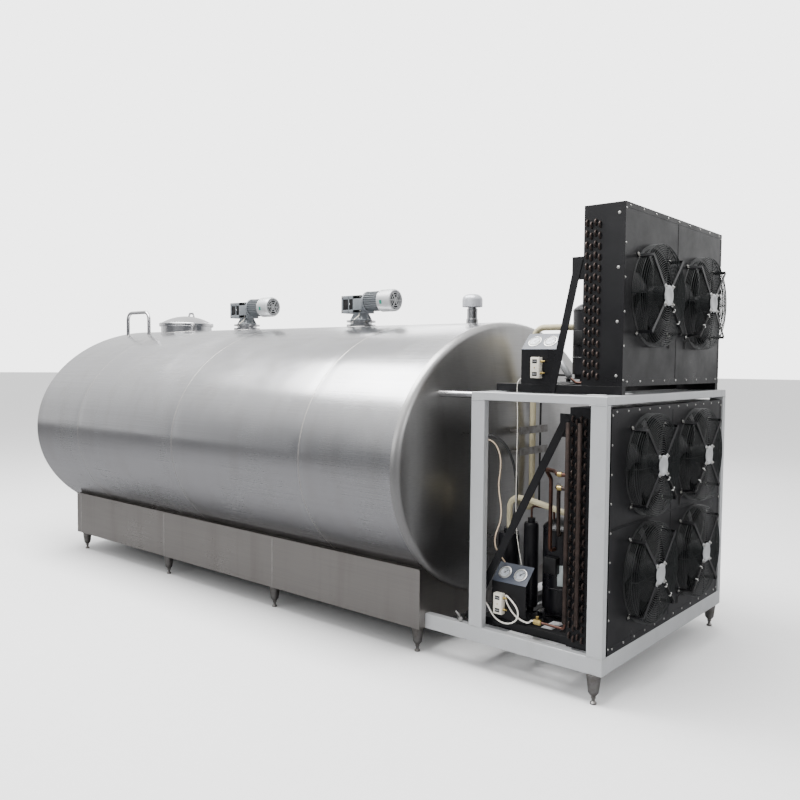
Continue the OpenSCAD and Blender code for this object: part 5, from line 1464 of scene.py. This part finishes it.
class MachineryOperator(bpy.types.Operator):
    """Dresses the compressors and bottles with seams, covers, labels and fittings"""
    bl_idname = "milktank.machinery"
    bl_label = "Compressors"

    def execute(self, context):
        deck = posts[1].z + 0.080
        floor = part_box("frame_bottom_rails")[1].z + 0.040
        shells, covers, labels, caps = (bmesh.new() for _ in range(4))
        for x, y, z, d, h in ((-0.510, 0.038, deck + .004, 0.176, 0.440), (-0.400, -0.412, floor + .004, 0.200, 0.500)):
            base = Matrix.Translation(at(x, y, z))
            r = d / 2
            for level in (h * 0.30, h - r * 0.52):
                lathe(shells, [(r - 0.001, level - 0.005), (r + 0.002, level - 0.002), (r + 0.002, level + 0.002),
                               (r - 0.001, level + 0.005)], base, 64)
            block(covers, (-0.036, -r - 0.034, h * 0.55 - 0.041), (0.036, -r + 0.004, h * 0.55 + 0.041), base,
                  bevel=0.005)
            arc = [(r + 0.0008, a) for a in (math.radians(-75 + 6 * i) for i in range(9))]
            low, high = h * 0.34, h * 0.34 + 0.105
            rows = [[labels.verts.new(base @ Vector((q * math.cos(a), q * math.sin(a), lev))) for q, a in arc]
                    for lev in (low, high)]
            for i in range(len(arc) - 1):
                labels.faces.new((rows[0][i], rows[0][i + 1], rows[1][i + 1], rows[1][i]))
            for px in (-0.080, 0.080):
                for py in (-0.080, 0.080):
                    hex_bolt(caps, base @ Vector((px, py, 0.018)), (0, 0, 1), 0.010, 0.010)
        piece("shell_welds", shells, shell_enamel())
        piece("terminal_covers", covers, black_moulding())
        made = piece("shell_labels", labels, print_ink("blank label", (0.42, 0.47, 0.47)))
        thick = made.modifiers.new("thick", "SOLIDIFY")
        thick.thickness = 0.0004
        baked(made)
        piece("foot_bolts", caps, zinc())
        return {"FINISHED"}


class InstrumentsOperator(bpy.types.Operator):
    """Builds the pressure gauges and the pressure controllers"""
    bl_idname = "milktank.instruments"
    bl_label = "Gauges and controllers"

    def execute(self, context):
        rims, cards, marks, glass, screws = (bmesh.new() for _ in range(5))
        out = Vector((0.0, -1.0, 1.0)).normalized()
        for spot in NEEDLES:
            m = place(spot, out)
            r, top = 0.030, 0.009
            lathe(rims, [(0.0, top - 0.026), (r - .001, top - 0.026), (r - .0005, 0.0035), (0.035, 0.0035),
                         (0.035, 0.005), (r + .001, 0.0055), (r, top - 0.001), (r - .0015, top),
                         (r - .003, top - .0015),
                         (r - .003, top - 0.005), (0.0, top - 0.005)], m, 56)
            lathe(cards, [(0.0, top - 0.0048), (r - .0032, top - 0.0048), (r - .0032, top - 0.0052)], m, 48)
            for k in range(28):
                a = math.radians(-45 + 10 * k)
                long = 0.006 if k % 3 == 0 else 0.0035
                block(marks, (0.0245 - long, -0.0004, top - 0.0048), (0.0245, 0.0004, top - 0.0046),
                      m @ Matrix.Rotation(a, 4, "Z"))
            lathe(glass, [(0.0, top - 0.0012), (r - .003, top - 0.0012), (r - .003, top - 0.0022),
                          (0.0, top - 0.0022)], m, 40)
            for k in range(3):
                a = math.pi / 2 + k * math.tau / 3
                pan_screw(screws, m @ Vector((0.0325 * math.cos(a), 0.0325 * math.sin(a), 0.005)), out, 0.0055)
        piece("gauge_cases", rims, zinc(), stands_for=("gauges",))
        piece("gauge_cards", cards, dial_white())
        piece("gauge_marks", marks, print_ink("black ink", (0.02, 0.02, 0.025)))
        piece("gauge_glass", glass, clear_lens())
        piece("gauge_screws", screws, zinc())
        self.make_controllers()
        return {"FINISHED"}

    def make_controllers(self):
        wide, deep, tall = 0.050, 0.034, 0.105
        low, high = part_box("pressure_controllers")
        corners = [(high.x - 0.024 - wide, high.y - deep, high.z - tall), (low.x, low.y, low.z)]
        shells, windows, marks, nuts = (bmesh.new() for _ in range(4))
        for x, y, z in corners:
            block(shells, (x, y + 0.004, z), (x + wide, y + deep, z + tall), bevel=0.002)
            block(shells, (x + 0.001, y + 0.0008, z + 0.002), (x + wide - 0.001, y + 0.0055, z + tall - 0.002),
                  bevel=0.0018)
            for dz in (0.012, 0.075):
                block(windows, (x + 0.011, y, z + dz - 0.001), (x + 0.039, y + 0.003, z + dz + 0.019), bevel=0.0008)
                for k in range(6):
                    block(marks, (x + 0.014 + k * 0.0042, y - 0.0001, z + dz + 0.006),
                          (x + 0.0148 + k * 0.0042, y + 0.001, z + dz + 0.012))
            pan_screw(nuts, (x + 0.025, y + 0.0008, z + 0.052), (0, -1, 0), 0.006)
            for dz in (0.026, 0.084):
                m = place((x + wide, y + deep / 2, z + dz), (1, 0, 0))
                lathe(nuts, [(0.0, 0.0), (0.007, 0.0), (0.007, 0.010), (0.0, 0.010)], m, 6)
                lathe(nuts, [(0.0, 0.010), (0.0045, 0.010), (0.0045, 0.014), (0.0038, 0.015), (0.0045, 0.016),
                             (0.0045, 0.023), (0.0, 0.024)], m, 20)
        piece("controller_shells", shells, ivory(), stands_for=("pressure_controllers",))
        piece("controller_windows", windows, black_moulding())
        piece("controller_marks", marks, dial_white())
        piece("controller_nuts", nuts, brass())


class FinishesOperator(bpy.types.Operator):
    """Gives every remaining part of the frame model its finish and softened edges"""
    bl_idname = "milktank.finishes"
    bl_label = "Finishes"

    def execute(self, context):
        looks = {
            stainless_skirt: ("base_skirt",),
            polished: ("manhole_neck", "agitator_mounts", "vent_stem", "tie_tubes", "outlet_valve",
                       "agitator_left", "agitator_right", "inner_vessel", "evaporator_plates"),
            mill_steel: ("leg_cups", "levelling_feet", "lid_hinge_pin", "pipe_straps", "valve_handle", "base_frame"),
            foam: ("foam_barrel", "foam_heads"),
            black_rubber: ("manhole_gasket",),
            frame_paint: ("frame_posts", "frame_bottom_rails", "frame_top_rails"),
            black_coat: ("base_channels", "condenser_casings", "condenser_braces", "gauge_brackets", "fan_brackets"),
            dark_copper: ("return_bends",),
            shell_enamel: ("compressors", "accumulators"),
            panel_paint: ("gauge_plates",),
            black_moulding: ("needle_1", "needle_2", "needle_3", "needle_4"),
        }
        for look, names in looks.items():
            for name in names:
                node = frame["nodes"][name]
                for i in range(len(node.material_slots)):
                    node.material_slots[i].material = look()
                if not node.material_slots:
                    node.data.materials.append(look())
        soft = {"frame_posts": 0.004, "frame_bottom_rails": 0.004, "frame_top_rails": 0.004, "base_skirt": 0.0012,
                "base_channels": 0.0015, "condenser_casings": 0.0007, "condenser_braces": 0.0008,
                "fan_brackets": 0.0006, "gauge_brackets": 0.0006, "gauge_plates": 0.0006, "pipe_straps": 0.0008}
        for name, width in soft.items():
            node = frame["nodes"][name]
            weld = node.modifiers.new("joined", "WELD")
            weld.merge_threshold = 0.00001
            edge = node.modifiers.new("edges", "BEVEL")
            edge.width = width
            edge.segments = 2
            edge.limit_method = "ANGLE"
            edge.angle_limit = math.radians(40)
            edge.harden_normals = True
        return {"FINISHED"}


# ---- Panel and registration ----


OPERATORS = (StageOperator, CablesOperator, CladdingOperator, ManholeOperator, TopFittingsOperator, DrivesOperator,
             FrameOperator, CondensersOperator, FansOperator, PlumbingOperator, MachineryOperator,
             InstrumentsOperator, FinishesOperator)


class TankPanel(bpy.types.Panel):
    """Lists the pieces that can be built"""
    bl_idname = "VIEW3D_PT_milktank"
    bl_label = "Milk tank"
    bl_space_type = "VIEW_3D"
    bl_region_type = "UI"
    bl_category = "Milk tank"

    def draw(self, context):
        for operator in OPERATORS:
            self.layout.operator(operator.bl_idname)
        for group in (context.scene.tank_sizes, context.scene.tank_colours):
            for name in group.__annotations__:
                self.layout.prop(group, name)


CLASSES = (TankSizes, TankColours, *OPERATORS, TankPanel)


def register():
    for item in CLASSES:
        bpy.utils.register_class(item)
    bpy.types.Scene.tank_sizes = bpy.props.PointerProperty(type=TankSizes)
    bpy.types.Scene.tank_colours = bpy.props.PointerProperty(type=TankColours)


def unregister():
    del bpy.types.Scene.tank_colours
    del bpy.types.Scene.tank_sizes
    for item in reversed(CLASSES):
        bpy.utils.unregister_class(item)


def main():
    register()
    for operator in OPERATORS:
        group, name = operator.bl_idname.split(".")
        getattr(getattr(bpy.ops, group), name)()


if __name__ == "__main__":
    main()
